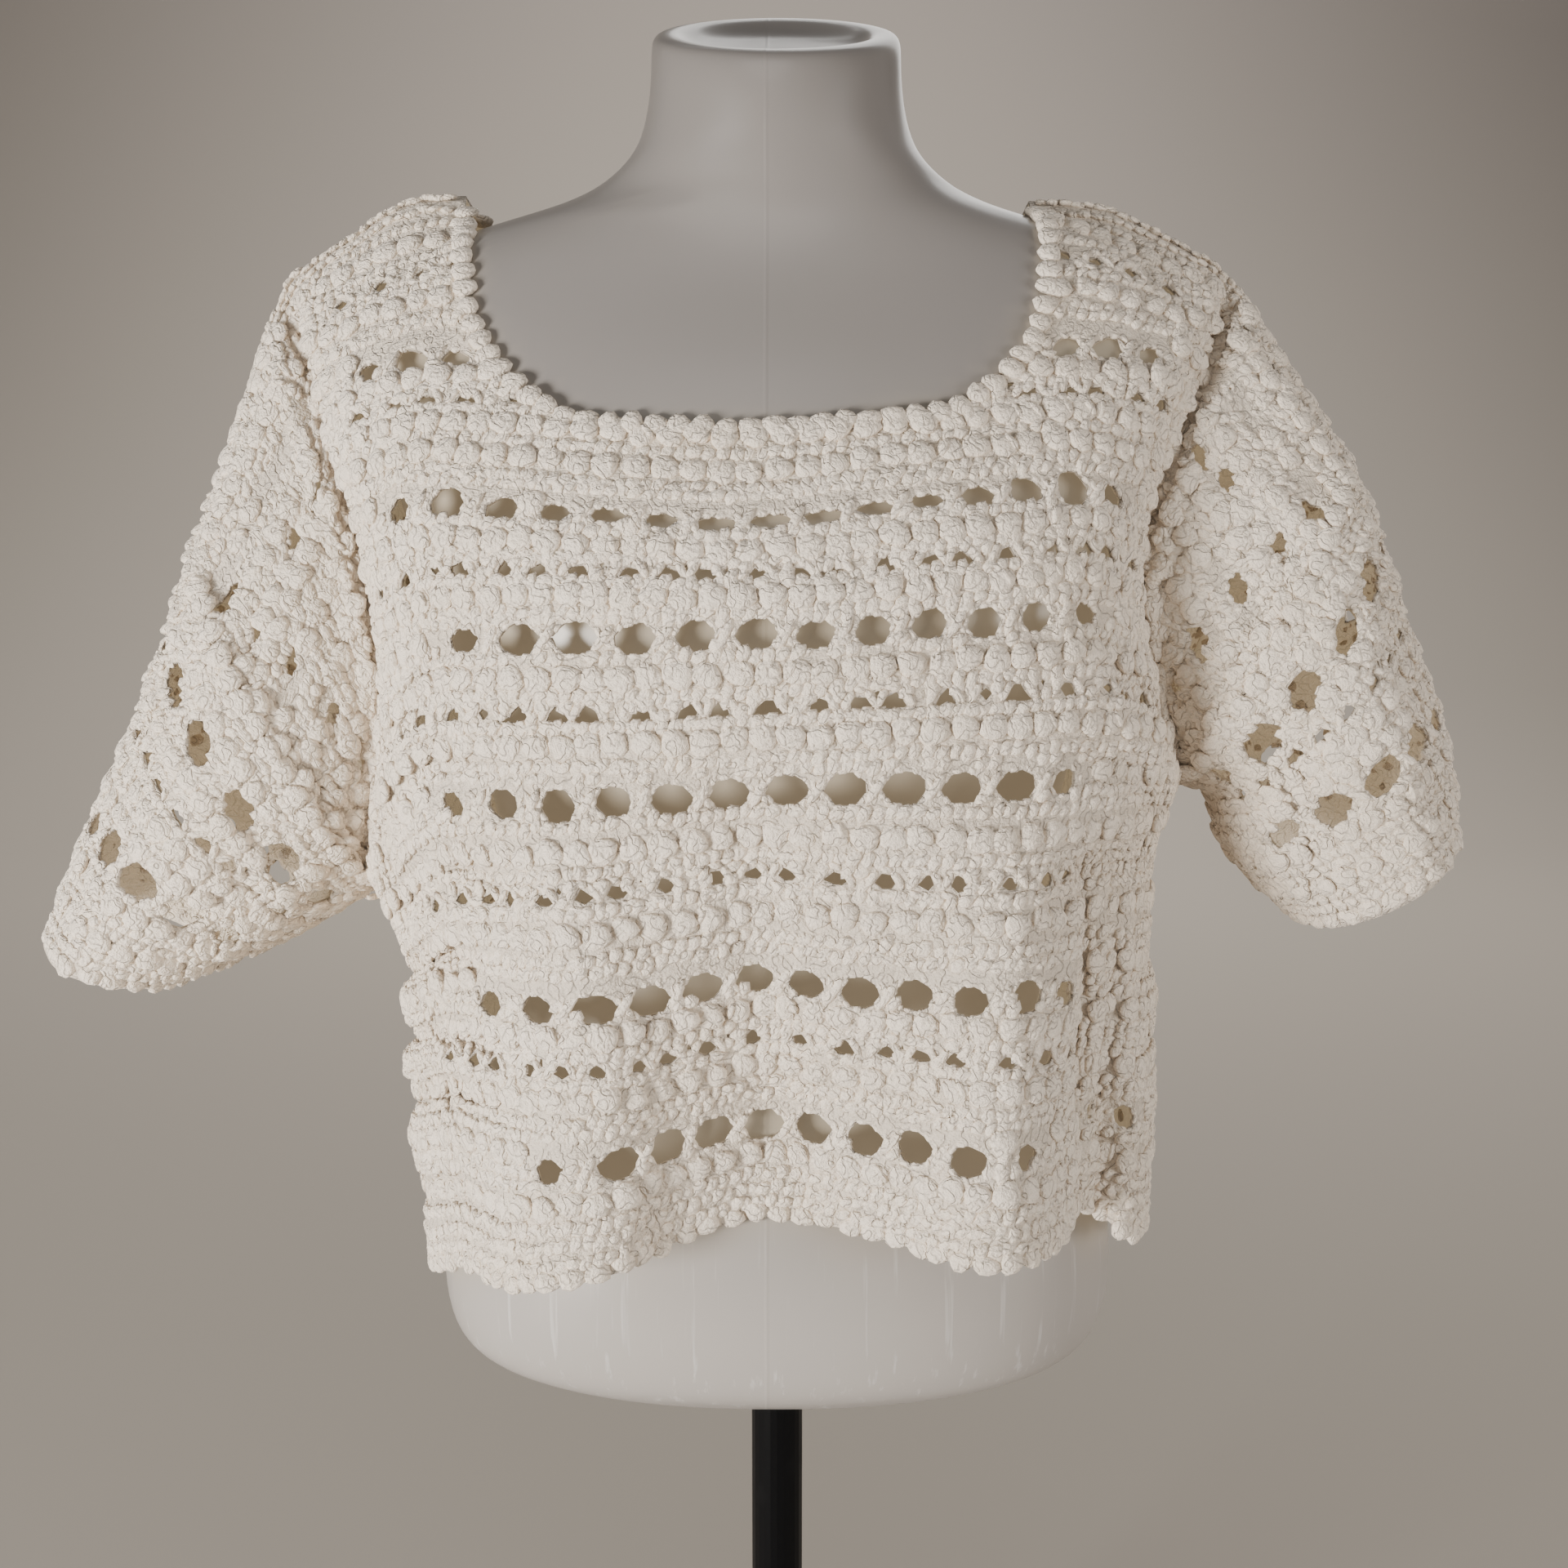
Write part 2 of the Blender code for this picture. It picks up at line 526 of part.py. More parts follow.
def body_panel(name, rows, folds, side, tree, mat):
    """One body panel: side is -1 for the front and 1 for the back."""
    table = smooth_table(rows, ROW_COLUMNS)
    fold_rows = [dict(zip(FOLD_COLUMNS, f)) for f in folds]
    columns = panel_columns()
    lines = panel_lines()
    grid = np.array([panel_row(table, v, side, fold_rows, columns) for v, _ in lines]) * MM
    distances = np.array([v for v, _ in lines])
    lifts = np.array([lift for _, lift in lines]) * BOBBLE_LIFT
    half_gap = GAP / 2
    below = distances > ARMHOLE + 1
    neck_row = int(np.argmax(distances >= (113 if side < 0 else 36)))
    keep = np.zeros(grid.shape[:2], bool)
    keep[: neck_row + 1, np.abs(columns) < NECK_COLUMN + 0.1] = True
    grid = soften(grid, 1, keep)
    beside = np.abs(columns) < CREASE_COLUMN - 22
    far = keep | beside[None, :] | (distances < 60)[:, None]
    grid = soften(grid, SOFT_ROUNDS, far | (distances > 280)[:, None])
    far = far | (distances > 330)[:, None]
    ends = {edge: grid[:, edge].copy() for edge in (0, -1)}
    grid = rest_on_form(grid, tree, REST)
    grid[0, :, 1] = side * half_gap
    for edge in (0, -1):
        grid[:, edge] = ends[edge]
        grid[distances > ARMHOLE - 1, edge, 1] = side * half_gap
    grid[0, :, 1] = side * half_gap
    normals = grid_normals(grid, side)
    for edge, sign in ((0, -1), (-1, 1)):
        ring = dict(zip(RING_COLUMNS, (LEFT_RINGS if edge == 0 else RIGHT_RINGS)[0]))
        axis = seam_axis(ring, sign)
        normals[below, edge] = (sign, 0.0, 0.0)
        for i in np.nonzero(~below)[0]:
            amount = max(0.0, min(1.0, (table(distances[i])["g"] - 0.8) / 0.2))
            direction = seam_direction(ring, grid[i, edge])
            normals[i, edge] = underarm_turn(direction, sign, amount)
            for k, share in ((1, 1.0), (2, 0.8), (3, 0.5), (4, 0.25)):
                j = k if edge == 0 else -1 - k
                normal = normals[i, j] - axis * normals[i, j].dot(axis) * share
                normals[i, j] = normal / np.linalg.norm(normal)
    ridge = np.gradient(grid[0], axis=0)
    up = np.stack((-ridge[:, 2], np.zeros(len(ridge)), ridge[:, 0]), axis=1)
    up /= np.linalg.norm(up, axis=1, keepdims=True)
    ends = normals[0, 0].copy(), normals[0, -1].copy()
    normals[0] = up
    normals[0, 0], normals[0, -1] = ends
    normals = soften(normals, 8, far)
    normals /= np.linalg.norm(normals, axis=2, keepdims=True)
    lift = np.repeat(lifts[:, None], len(columns), axis=1)
    lift[: neck_row + 1, np.abs(np.abs(columns) - NECK_COLUMN) < 0.1] = EDGE_LIFT
    wide = spacing(grid)
    lift *= np.clip((wide - 6.0 * MM) / (3.0 * MM), 0.0, 1.0)
    lift[:, 0] = 0.0
    lift[:, -1] = 0.0
    wall = WALL * np.clip((wide - 1.0 * MM) / (6.0 * MM), THIN_SHARE, 1.0)
    wall[:, 0] = WALL
    wall[:, -1] = WALL
    for i, v in enumerate(distances):
        amount = max(0.0, min(1.0, (table(v)["g"] - 0.8) / 0.2)) * (v < ARMHOLE + 1)
        wall[i, (0, -1)] = WALL * (1.0 - (1.0 - THIN_SHARE) * amount)
    outer = grid + normals * (wall + lift)[..., None]
    outer[0, :, 1] = side * half_gap
    for edge in (0, -1):
        outer[distances > ARMHOLE - 1, edge, 1] = side * half_gap
    cells = np.ones((len(lines) - 1, len(columns) - 1), bool)
    middle = (columns[:-1] + columns[1:]) / 2
    cells[:neck_row, np.abs(middle) < NECK_COLUMN] = False
    half_name = "front" if side < 0 else "back"
    for values in EYELET_ROWS:
        entry = dict(zip(EYELET_COLUMNS, values))
        low, high = entry[half_name + "_from"], entry[half_name + "_to"]
        i = int(np.argmin(np.abs(distances - (entry["v"] - EYELET_TALL / 2))))
        for k in range(-EYELETS_EACH_SIDE, EYELETS_EACH_SIDE + 1):
            if low <= abs(k) <= high or (entry["v"], abs(k)) in OUTER_EYELETS:
                cells[i, 1 + 2 * (k + EYELETS_EACH_SIDE)] = False
    verts, faces = closed_grid(grid, outer, cells)
    return add_mesh(name, verts, faces, mat)


def seam_direction(ring, point):
    """The direction out of the sleeve's seam ring at a point, in the ring's plane."""
    mid = np.array(((ring["xt"] + ring["xb"]) / 2, 0.0, (ring["zt"] + ring["zb"]) / 2)) * MM
    top = np.array((ring["xt"] - ring["xb"], 0.0, ring["zt"] - ring["zb"])) * MM / 2
    half = np.linalg.norm(top)
    unit = top / half
    out = point - mid
    depth = (ring["front"] if out[1] < 0 else ring["back"]) * MM
    direction = unit * out.dot(unit) / half ** 2
    direction[1] = out[1] / depth ** 2
    return direction / np.linalg.norm(direction)


def sleeve_half(name, rings, side, sign, mat):
    """One half of a sleeve: side is -1 for the front and 1 for the back."""
    table = smooth_table(rings, RING_COLUMNS)
    first, last = rings[0][0], rings[-1][0]
    lines = [(first, 0.0), (first + 14, 1.0)]
    for k, (s, _, _) in enumerate(SLEEVE_EYELET_ROWS):
        lines += [(s - EYELET_TALL / 2, 0.0), (s + EYELET_TALL / 2, 0.0)]
        if k < len(SLEEVE_EYELET_ROWS) - 1:
            lines += [(s + 22, 1.0), (SLEEVE_EYELET_ROWS[k + 1][0] - 20, 1.0)]
    lines += [(164, 1.0), (last, EDGE_LIFT / BOBBLE_LIFT)]
    angles = [0.0]
    for k in range(SLEEVE_EYELETS):
        half = EYELET_WIDE / EYELET_PITCH / 2
        angles += [(k + 0.5 - half) / SLEEVE_EYELETS, (k + 0.5 + half) / SLEEVE_EYELETS]
    angles.append(1.0)
    angles = np.array(angles) * math.pi
    grid = np.zeros((len(lines), len(angles), 3))
    normals = np.zeros_like(grid)
    for i, (s, _) in enumerate(lines):
        ring = table(s)
        for j, a in enumerate(angles):
            grid[i, j] = ring_point(ring, -side * a) * MM
            normals[i, j] = seam_direction(ring, grid[i, j])
    ring = dict(zip(RING_COLUMNS, rings[0]))
    thin = np.ones(len(angles))
    for j, a in enumerate(angles):
        amount = max(0.0, min(1.0, (a / math.pi - 0.8) / 0.2))
        grid[0, j] += seam_axis(ring, sign) * GAP * (1.0 + 1.2 * amount)
        normals[0, j] = underarm_turn(normals[0, j], sign, amount)
        thin[j] = 1.0 - (1.0 - THIN_SHARE) * amount
    grid[:, 0, 1] = side * GAP / 2
    grid[:, -1, 1] = side * GAP / 2
    wall = np.full((len(lines), len(angles)), WALL)
    wall[0] *= thin
    lift = np.repeat(np.array([l for _, l in lines])[:, None] * BOBBLE_LIFT, len(angles), axis=1)
    lift[:, 0] = 0.0
    lift[:, -1] = 0.0
    outer = grid + normals * (wall + lift)[..., None]
    outer[:, 0, 1] = side * GAP / 2
    outer[:, -1, 1] = side * GAP / 2
    cells = np.ones((len(lines) - 1, len(angles) - 1), bool)
    for s, front, back in SLEEVE_EYELET_ROWS:
        count = front if side < 0 else back
        start = min(range(len(lines) - 1), key=lambda q: abs((lines[q][0] + lines[q + 1][0]) / 2 - s))
        for k in range(count):
            cells[start, 1 + 2 * k] = False
    verts, faces = closed_grid(grid, outer, cells)
    return add_mesh(name, verts, faces, mat)


def lathe(name, profile, segments, mat):
    """A body turned about Z from (radius, height) pairs, closed at both ends."""
    verts = []
    for radius, z in profile:
        for k in range(segments):
            a = 2 * math.pi * k / segments
            verts.append((radius * math.cos(a), radius * math.sin(a), z))
    n = segments
    faces = []
    for r in range(len(profile) - 1):
        for k in range(n):
            a, b = r * n + k, r * n + (k + 1) % n
            faces.append((a, b, b + n, a + n))
    faces.append(tuple(reversed(range(n))))
    faces.append(tuple((len(profile) - 1) * n + k for k in range(n)))
    return add_mesh(name, verts, faces, mat, 30.0)


def build():
    clear_scene()
    yarn = material("yarn", YARN, 0.9)
    white = material("form_plastic", FORM_WHITE, 0.35)
    black = material("pole_steel", POLE_BLACK, 0.4, 0.3)
    dark = material("base_steel", BASE_BLACK, 0.45, 0.3)

    verts, faces = form_shape()
    form = add_mesh("torso_form", verts, faces, white, 60.0)
    tree = BVHTree.FromPolygons([Vector(p) for p in verts], faces)

    body_panel("body_front", FRONT_ROWS, FRONT_FOLDS, -1, tree, yarn)
    body_panel("body_back", BACK_ROWS, BACK_FOLDS, 1, tree, yarn.copy())
    for side_name, rings, sign in (("right", RIGHT_RINGS, 1), ("left", LEFT_RINGS, -1)):
        for half_name, side in (("front", -1), ("back", 1)):
            sleeve_half(f"sleeve_{side_name}_{half_name}", rings, side, sign, yarn.copy())

    bevel = 1.5 * MM
    lathe("stand_base", (
        (BASE_RADIUS - bevel, 0.0),
        (BASE_RADIUS, bevel),
        (BASE_RADIUS, BASE_THICK - 3 * MM),
        (BASE_RADIUS - 3 * MM, BASE_THICK),
        (POLE_RADIUS, BASE_THICK),
    ), 36, dark)
    lathe("stand_pole", (
        (POLE_RADIUS, BASE_THICK + GAP),
        (POLE_RADIUS, FORM_BOTTOM - GAP),
    ), 24, black)


build()
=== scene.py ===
import math
from collections import namedtuple

import bmesh
import bpy
import numpy as np
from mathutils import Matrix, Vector
from mathutils.bvhtree import BVHTree


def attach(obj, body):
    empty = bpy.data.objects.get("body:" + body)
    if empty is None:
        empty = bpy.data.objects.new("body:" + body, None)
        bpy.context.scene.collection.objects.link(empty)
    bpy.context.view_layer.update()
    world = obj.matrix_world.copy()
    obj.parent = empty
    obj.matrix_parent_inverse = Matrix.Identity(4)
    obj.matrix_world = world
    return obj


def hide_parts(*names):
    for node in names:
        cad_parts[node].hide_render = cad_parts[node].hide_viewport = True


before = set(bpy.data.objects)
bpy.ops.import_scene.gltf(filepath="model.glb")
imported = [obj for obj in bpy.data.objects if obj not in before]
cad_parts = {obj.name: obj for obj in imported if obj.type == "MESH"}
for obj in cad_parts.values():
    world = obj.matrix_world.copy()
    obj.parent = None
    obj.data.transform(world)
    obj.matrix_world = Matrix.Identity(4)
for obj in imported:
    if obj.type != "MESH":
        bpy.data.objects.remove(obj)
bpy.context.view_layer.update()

mm = 0.001
rng = np.random.default_rng(7)

# Camera, as the photograph was taken: a little above the chest, tipped down
camera = {"place": (0.0035, -0.74, 0.692), "tilt": 82.0, "lens": 36.09, "sensor": 36.0}

# The cloth's measures are the part's own, in mm: ground is its thickness, gap the space between
# pieces, rest the least space over the form and cell the step of its grid
cloth = {
    "ground": 2.3, "gap": 0.4, "rest": 0.7, "cell": 4.0,
    "panelHalf": 300.0, "panelLong": 455.0, "neckColumn": 103.5, "neckCorner": 20.0,
    "creaseColumn": 200.0, "chest": 212.0, "armhole": 284.5, "sidePart": 62.0,
    "bendOut": 9.0, "bendUp": 4.0, "underarmTurn": 0.3, "thinShare": 0.5,
    "softRounds": 5, "softFrom": 60.0, "softTo": 280.0, "smoothTo": 330.0, "firm": 178.0,
    "eyeletPitch": 24.0, "eyeletWide": 15.0, "eyeletTall": 13.0, "eyeletsEachSide": 12, "rowHalf": 21.0,
    "sleeveHalfRound": 192.0, "sleeveLong": 182.0,
}
neckDepths = {"front": 113.0, "back": 36.0}

# Rows of a panel: distance down it, the side points and their depth, heights across the
# chest, depth of the middle, where the middle and the strap edges lie, turn of the seam
rowNames = ("v", "xl", "zl", "xr", "zr", "ys", "zml", "zc", "zmr", "f", "xc", "xnl", "xnr", "g")
frontRows = (
    (0, -222, 816, 202, 822, 0, 853, 858, 850, 1, -13, -140, 114, 0.0),
    (34, -214, 797, 199, 806, 10, 818, 824, 818, 34, -12, -134, 115, 0.13),
    (68, -203, 769, 190, 781, 20, 785, 788, 787, 64, -10, -125, 109, 0.27),
    (113, -192, 741, 171, 750, 31, 752, 744, 756, 90, -6, -97, 83, 0.42),
    (150, -182, 708, 160, 716, 35, 720, 708, 726, 109, -2, -105, 97, 0.56),
    (212, -172, 641, 159, 662, 34, 662, 666, 674, 122, 0, -108, 100, 0.78),
    (284.5, -187, 543, 184, 592, 1, 589, 598, 600, 123, 0, -101, 103, 1.0),
    (308, -174, 522, 172, 566, 0, 557, 573, 571, 122, 3, -95, 102, 1.0),
    (346, -172, 490, 175, 514, 0, 513, 530, 522, 118, 8, -82, 100, 1.0),
    (414, -173, 422, 178, 441, 0, 447, 463, 459, 107, 12, -72, 100, 1.0),
    (455, -166, 360, 177, 378, 0, 386, 416, 408, 105, 12, -69, 101, 1.0),
)
backRows = (
    (0, -222, 816, 202, 822, 0, 853, 858, 850, 1, -13, -140, 114, 0.0),
    (34, -212, 799, 200, 807, 14, 815, 812, 815, 74, -12, -120, 100, 0.13),
    (68, -206, 776, 194, 784, 24, 788, 785, 788, 86, -10, -108, 96, 0.27),
    (113, -198, 738, 186, 748, 32, 748, 746, 749, 95, -6, -104, 96, 0.42),
    (150, -190, 702, 178, 713, 34, 712, 710, 714, 99, -2, -103, 98, 0.56),
    (212, -177, 636, 168, 660, 30, 650, 652, 655, 101, 0, -103, 101, 0.78),
    (284.5, -187, 543, 184, 592, 1, 581, 583, 587, 103, 0, -102, 102, 1.0),
    (308, -174, 522, 172, 566, 0, 557, 560, 563, 104, 1, -102, 103, 1.0),
    (346, -172, 490, 175, 514, 0, 517, 520, 522, 107, 2, -102, 104, 1.0),
    (414, -173, 422, 178, 441, 0, 447, 450, 452, 112, 3, -101, 104, 1.0),
    (455, -166, 360, 177, 378, 0, 396, 402, 404, 115, 3, -101, 104, 1.0),
)
# Folds down a panel: place across, half width, how far out at the underarm, half way, the hem
foldNames = ("x", "wide", "top", "mid", "low")
foldLines = (cloth["chest"], 278, 365, cloth["panelLong"])  # its start and those three places
frontFolds = (
    (-97, 40, 0, 14, 37), (92, 40, 2, 16, 40), (-14, 34, 0, 0, -1),
    (137, 13, 0, -10, -20), (160, 12, 0, 4, 10), (-158, 12, 0, 3, 6),
)
backFolds = (
    (-104, 34, 0, 12, 26), (6, 42, 0, 10, 24), (112, 32, 0, 11, 25),
    (-52, 20, 0, -4, -8), (60, 20, 0, -5, -8),
)
sideRipples = ((312, 13, 5), (352, 13, 5), (392, 12, 5), (430, 11, 4))  # row, half height, depth
# Rings of a sleeve: distance from the seam, top x and z, underside x and z, front, back
ringNames = ("s", "xt", "zt", "xb", "zb", "front", "back")
rightRings = (
    (0, 255, 742, 184, 592, 62, 58), (14, 262, 729, 192, 592, 64, 60),
    (76, 286, 667, 209, 583, 63, 58), (136, 308, 612, 221, 553, 60, 56),
    (182, 315, 567, 251, 524, 57, 54),
)
leftRings = (
    (0, -263, 703, -187, 543, 62, 58), (14, -268, 688, -196, 539, 64, 60),
    (76, -295, 621, -218, 526, 62, 58), (136, -323, 563, -246, 513, 60, 56),
    (182, -340, 521, -284, 497, 57, 54),
)
bigRows = (68, 150, 212, 278, 346, 414)  # rows of large eyelets down a panel
sleeveBigRows = (36, 118)
# Large eyelets of those rows, as (first, last, how many, further down), mm from the middle
frontEyelets = {
    68: ((-157, -118, 3, 7), (120, 158, 3, 6)), 150: ((-150, 150, 15, 4),), 212: ((-120, 130, 12, 2),),
    278: ((-134, 120, 12, 3),), 346: ((-143, 127, 12, 7),), 414: ((-121, 103, 10, 6), (163, 187, 2, 2)),
}
backEyelets = {
    68: ((-168, 168, 15, 0),), 150: ((-162, 162, 15, 0),), 212: ((-144, 144, 13, 0),),
    278: ((-140, 144, 13, 0),), 346: ((-144, 140, 13, 0),), 414: ((-148, 148, 13, 0),),
}
# Eyelets beyond the creases, as (across, down, size)
outerEyelets = (
    (219, 114, 0.8), (240, 106, 0.8), (222, 68, 0.4), (240, 65, 0.35), (222, 176, 0.4),
    (290, 76, 0.8), (280, 112, 0.95), (270, 147, 1.0), (260, 177, 1.0), (249, 207, 0.95), (232, 234, 0.8),
)
sleeveEyelets = {
    36: ((-154, -26, 7, 0), (30, 160, 6, 0)), 118: ((-150, -34, 6, 0), (36, 142, 5, 0)),
}
# Main creases: from (u, v), to (u, v), half width, depth. A ridge has a depth below nothing
frontCreases = (
    (-300, 331, -112, 337, 5.5, 6.5), (-300, 366, -118, 370, 5.5, 6.5), (-300, 401, -124, 399, 5.5, 6.5),
    (-300, 434, -130, 430, 5, 4.5), (-300, 349, -110, 353, 8, -2.5), (-300, 384, -120, 384, 8, -2.5),
    (-204, 15, -197, 285, 7, 5.5), (204, 15, 197, 285, 7, 5.5), (-217, 20, -212, 270, 9, -4.5),
    (217, 20, 212, 270, 9, -4.5), (-190, 30, -186, 150, 8, -2.0), (190, 30, 186, 150, 8, -2.0),
    (-205, 285, -106, 258, 8, 4.5), (-205, 298, -92, 308, 9, 4.5), (-198, 262, -122, 216, 8, 4.0),
    (205, 290, 112, 268, 8, 4.5), (205, 304, 104, 320, 9, 4.0), (196, 262, 126, 224, 8, 4.0),
    (300, 346, 168, 352, 7, 3.5), (300, 392, 176, 388, 7, 3.0), (148, 312, 147, 470, 7, 4.0),
    (131, 330, 130, 470, 8, -3.0), (174, 326, 177, 470, 6, 2.5), (161, 330, 162, 470, 6, -3.0),
    (-70, 168, 60, 178, 12, 1.6), (-100, 250, 30, 241, 13, 1.8), (10, 322, 118, 308, 12, 1.8),
    (-14, 290, -16, 520, 26, 10.0), (-97, 300, -99, 520, 24, -9.0), (92, 310, 94, 520, 26, -5.5),
)
backCreases = (
    (-204, 15, -197, 280, 6, 7.0), (204, 15, 197, 280, 6, 7.0), (-217, 20, -212, 265, 9, -4.0),
    (217, 20, 212, 265, 9, -4.0), (-205, 288, -100, 262, 8, 4.5), (205, 292, 104, 265, 8, 4.5),
    (-205, 300, -88, 318, 9, 4.0), (205, 304, 96, 324, 9, 4.0), (-300, 342, -140, 348, 6, 5.0),
    (300, 352, 142, 357, 6, 5.0), (-300, 388, -150, 386, 6, 5.0), (300, 398, 148, 395, 6, 5.0),
    (-80, 200, 60, 209, 14, 2.0), (-40, 292, 96, 284, 13, 2.0), (-60, 120, 50, 128, 14, 1.6),
)
sleeveCreases = (
    (62, 10, 54, 200, 14, 3.2), (120, 0, 128, 160, 10, 4.0), (150, 20, 146, 200, 8, -2.5),
    (92, 60, 86, 200, 12, -2.0), (-70, 6, -62, 200, 14, 3.4), (-128, 0, -120, 170, 10, 4.0),
    (-20, 40, -12, 200, 12, 2.4),
)


def clamp(value, low=0.0, high=1.0):
    return np.clip(value, low, high)


def smoothLine(keys, data, wanted):  # a curve through rows of data, read at other places
    slopes = np.gradient(data, keys, axis=0)
    i = np.clip(np.searchsorted(keys, wanted, side="right") - 1, 0, len(keys) - 2)
    shape = (-1,) + (1,) * (data.ndim - 1)
    step = (keys[i + 1] - keys[i]).reshape(shape)
    t = (wanted - keys[i]).reshape(shape) / step
    start = (2 * t ** 3 - 3 * t ** 2 + 1) * data[i] + (t ** 3 - 2 * t ** 2 + t) * step * slopes[i]
    end = (3 * t ** 2 - 2 * t ** 3) * data[i + 1] + (t ** 3 - t ** 2) * step * slopes[i + 1]
    return start + end


def smoothTable(rows, names):  # a table whose rows are read at any distance
    data = np.array(rows, float)
    return lambda value: dict(zip(names, smoothLine(data[:, 0], data, np.array((value,)))[0]))


def straightLine(keys, data, wanted):
    i = np.clip(np.searchsorted(keys, wanted, side="right") - 1, 0, len(keys) - 2)
    t = ((wanted - keys[i]) / (keys[i + 1] - keys[i])).reshape((-1,) + (1,) * (data.ndim - 1))
    return data[i] * (1 - t) + data[i + 1] * t


def overGrid(line, lines, columns, data, u, v):  # a panel's coarse data, read at every u and v
    wide = line(columns, np.swapaxes(data, 0, 1), u)
    return line(lines, np.swapaxes(wide, 0, 1), v)


def unit(vectors):
    return vectors / np.maximum(np.linalg.norm(vectors, axis=-1, keepdims=True), 1e-12)


def seamRing(rings):  # the ring where a sleeve is sewn on
    return dict(zip(ringNames, rings[0]))


def ringPoint(ring, angle):  # angle 0 on top, pi beneath, positive in front
    mid = np.array(((ring["xt"] + ring["xb"]) / 2, (ring["zt"] + ring["zb"]) / 2))
    arm = np.array(((ring["xt"] - ring["xb"]) / 2, (ring["zt"] - ring["zb"]) / 2))
    c, s = math.cos(angle), math.sin(angle)
    power = 2.0 / 2.1
    depth = ring["front"] if s > 0 else ring["back"]
    x, z = mid + arm * math.copysign(abs(c) ** power, c)
    return np.array((x, -depth * math.copysign(abs(s) ** power, s), z))


def rowLine(row, v, side, folds):  # points of one row between its two creases
    mid, half = (row["xl"] + row["xr"]) / 2, (row["xr"] - row["xl"]) / 2
    power = 2.0 / 2.35
    a = np.linspace(-0.5, 0.5, 161) * math.pi
    s = np.sign(a) * np.abs(np.sin(a)) ** power
    x = mid + half * s
    depth = row["ys"] + (row["f"] - row["ys"]) * np.abs(np.cos(a)) ** power
    for fold in folds:
        share = np.interp(v, foldLines, (0, fold["top"], fold["mid"], fold["low"]))
        depth += share * np.exp(-((x - fold["x"]) / fold["wide"]) ** 2) * clamp((1 - np.abs(s)) * 9)
    if side < 0:
        for at, tall, deep in sideRipples:
            cover = clamp((-x - 40) / 60) * clamp((1 - np.abs(s)) * 12)
            depth -= deep * math.exp(-((v - at) / tall) ** 2) * cover
    places = (row["xl"], (row["xl"] - 110) * 0.5, -10.0, (row["xr"] + 95) * 0.5, row["xr"])
    z = np.interp(x, places, (row["zl"], row["zml"], row["zc"], row["zmr"], row["zr"]))
    line = np.stack((x, side * depth, z), axis=1)
    for _ in range(12):
        line[1:-1, 2] = 0.5 * line[1:-1, 2] + 0.25 * (line[:-2, 2] + line[2:, 2])
    return line


def lengthsOf(line):
    return np.concatenate(((0.0,), np.cumsum(np.linalg.norm(np.diff(line, axis=0), axis=1))))


def along(line, marks, wanted):  # marks are pairs of column and length
    where = np.interp(wanted, [m[0] for m in marks], [m[1] for m in marks])
    length = lengthsOf(line)
    return np.stack([np.interp(where, length, line[:, i]) for i in range(3)], axis=1)


def panelRow(table, v, side, folds, columns):
    row = table(v)
    line = rowLine(row, v, side, folds)
    length = lengthsOf(line)
    total = length[-1]
    order = np.argsort(line[:, 0])
    at = [float(np.interp(row[k], line[order, 0], length[order])) for k in ("xnl", "xc", "xnr")]
    share = float(clamp((v - cloth["chest"]) / (cloth["armhole"] - cloth["chest"])))
    inset = cloth["sidePart"] * share ** 2
    crease, neck = cloth["creaseColumn"], cloth["neckColumn"]
    marks = [(-crease, min(inset, at[0] - 20)), (-neck, at[0]), (0, at[1]), (neck, at[2])]
    marks += [(crease, max(total - inset, at[2] + 20))]
    points = np.zeros((len(columns), 3))
    inner = np.abs(columns) <= crease
    points[inner] = along(line, marks, columns[inner])
    for chosen, rings, sign in ((columns < -crease, leftRings, -1), (columns > crease, rightRings, 1)):
        tail = line[::sign]
        tailLength = length if sign > 0 else total - length[::-1]
        if v <= cloth["armhole"]:
            start = along(line, marks, np.array((sign * crease,)))[0]
            end = ringPoint(seamRing(rings), -side * math.pi * row["g"])
            bend = (start + end) / 2 + np.array((0.0, side * cloth["bendOut"], cloth["bendUp"]))
            t = np.linspace(0, 1, 41)[:, None]
            part = (1 - t) ** 2 * start + 2 * t * (1 - t) * bend + t ** 2 * end
            if share > 0:
                near = tail[tailLength >= total - inset]
                plain = along(near, [(0, 0), (1, inset)], np.linspace(0, 1, 41))
                part = part * (1 - share) + plain * share
                part += np.outer(np.linspace(0, 1, 41), end - part[-1])
        else:
            part = tail[tailLength >= total - cloth["sidePart"]]
        marksOut = [(crease, 0), (cloth["panelHalf"], lengthsOf(part)[-1])]
        points[chosen] = along(part, marksOut, np.abs(columns[chosen]))
    return points


def panelColumns():
    half = cloth["eyeletWide"] / 2
    marks = [-cloth["panelHalf"]]
    for k in range(-cloth["eyeletsEachSide"], cloth["eyeletsEachSide"] + 1):
        marks += [k * cloth["eyeletPitch"] - half, k * cloth["eyeletPitch"] + half]
    return np.array(marks + [cloth["panelHalf"]])


def panelLines():
    half, beside = cloth["eyeletTall"] / 2, cloth["rowHalf"]
    lines = [0, 16, neckDepths["back"], neckDepths["front"], cloth["panelLong"]]
    lines += [v + step for v in bigRows for step in (-half, half)]
    lines += [v + beside for v in bigRows[1:]] + [v - beside for v in bigRows[2:]]
    return np.array(sorted(lines), float)


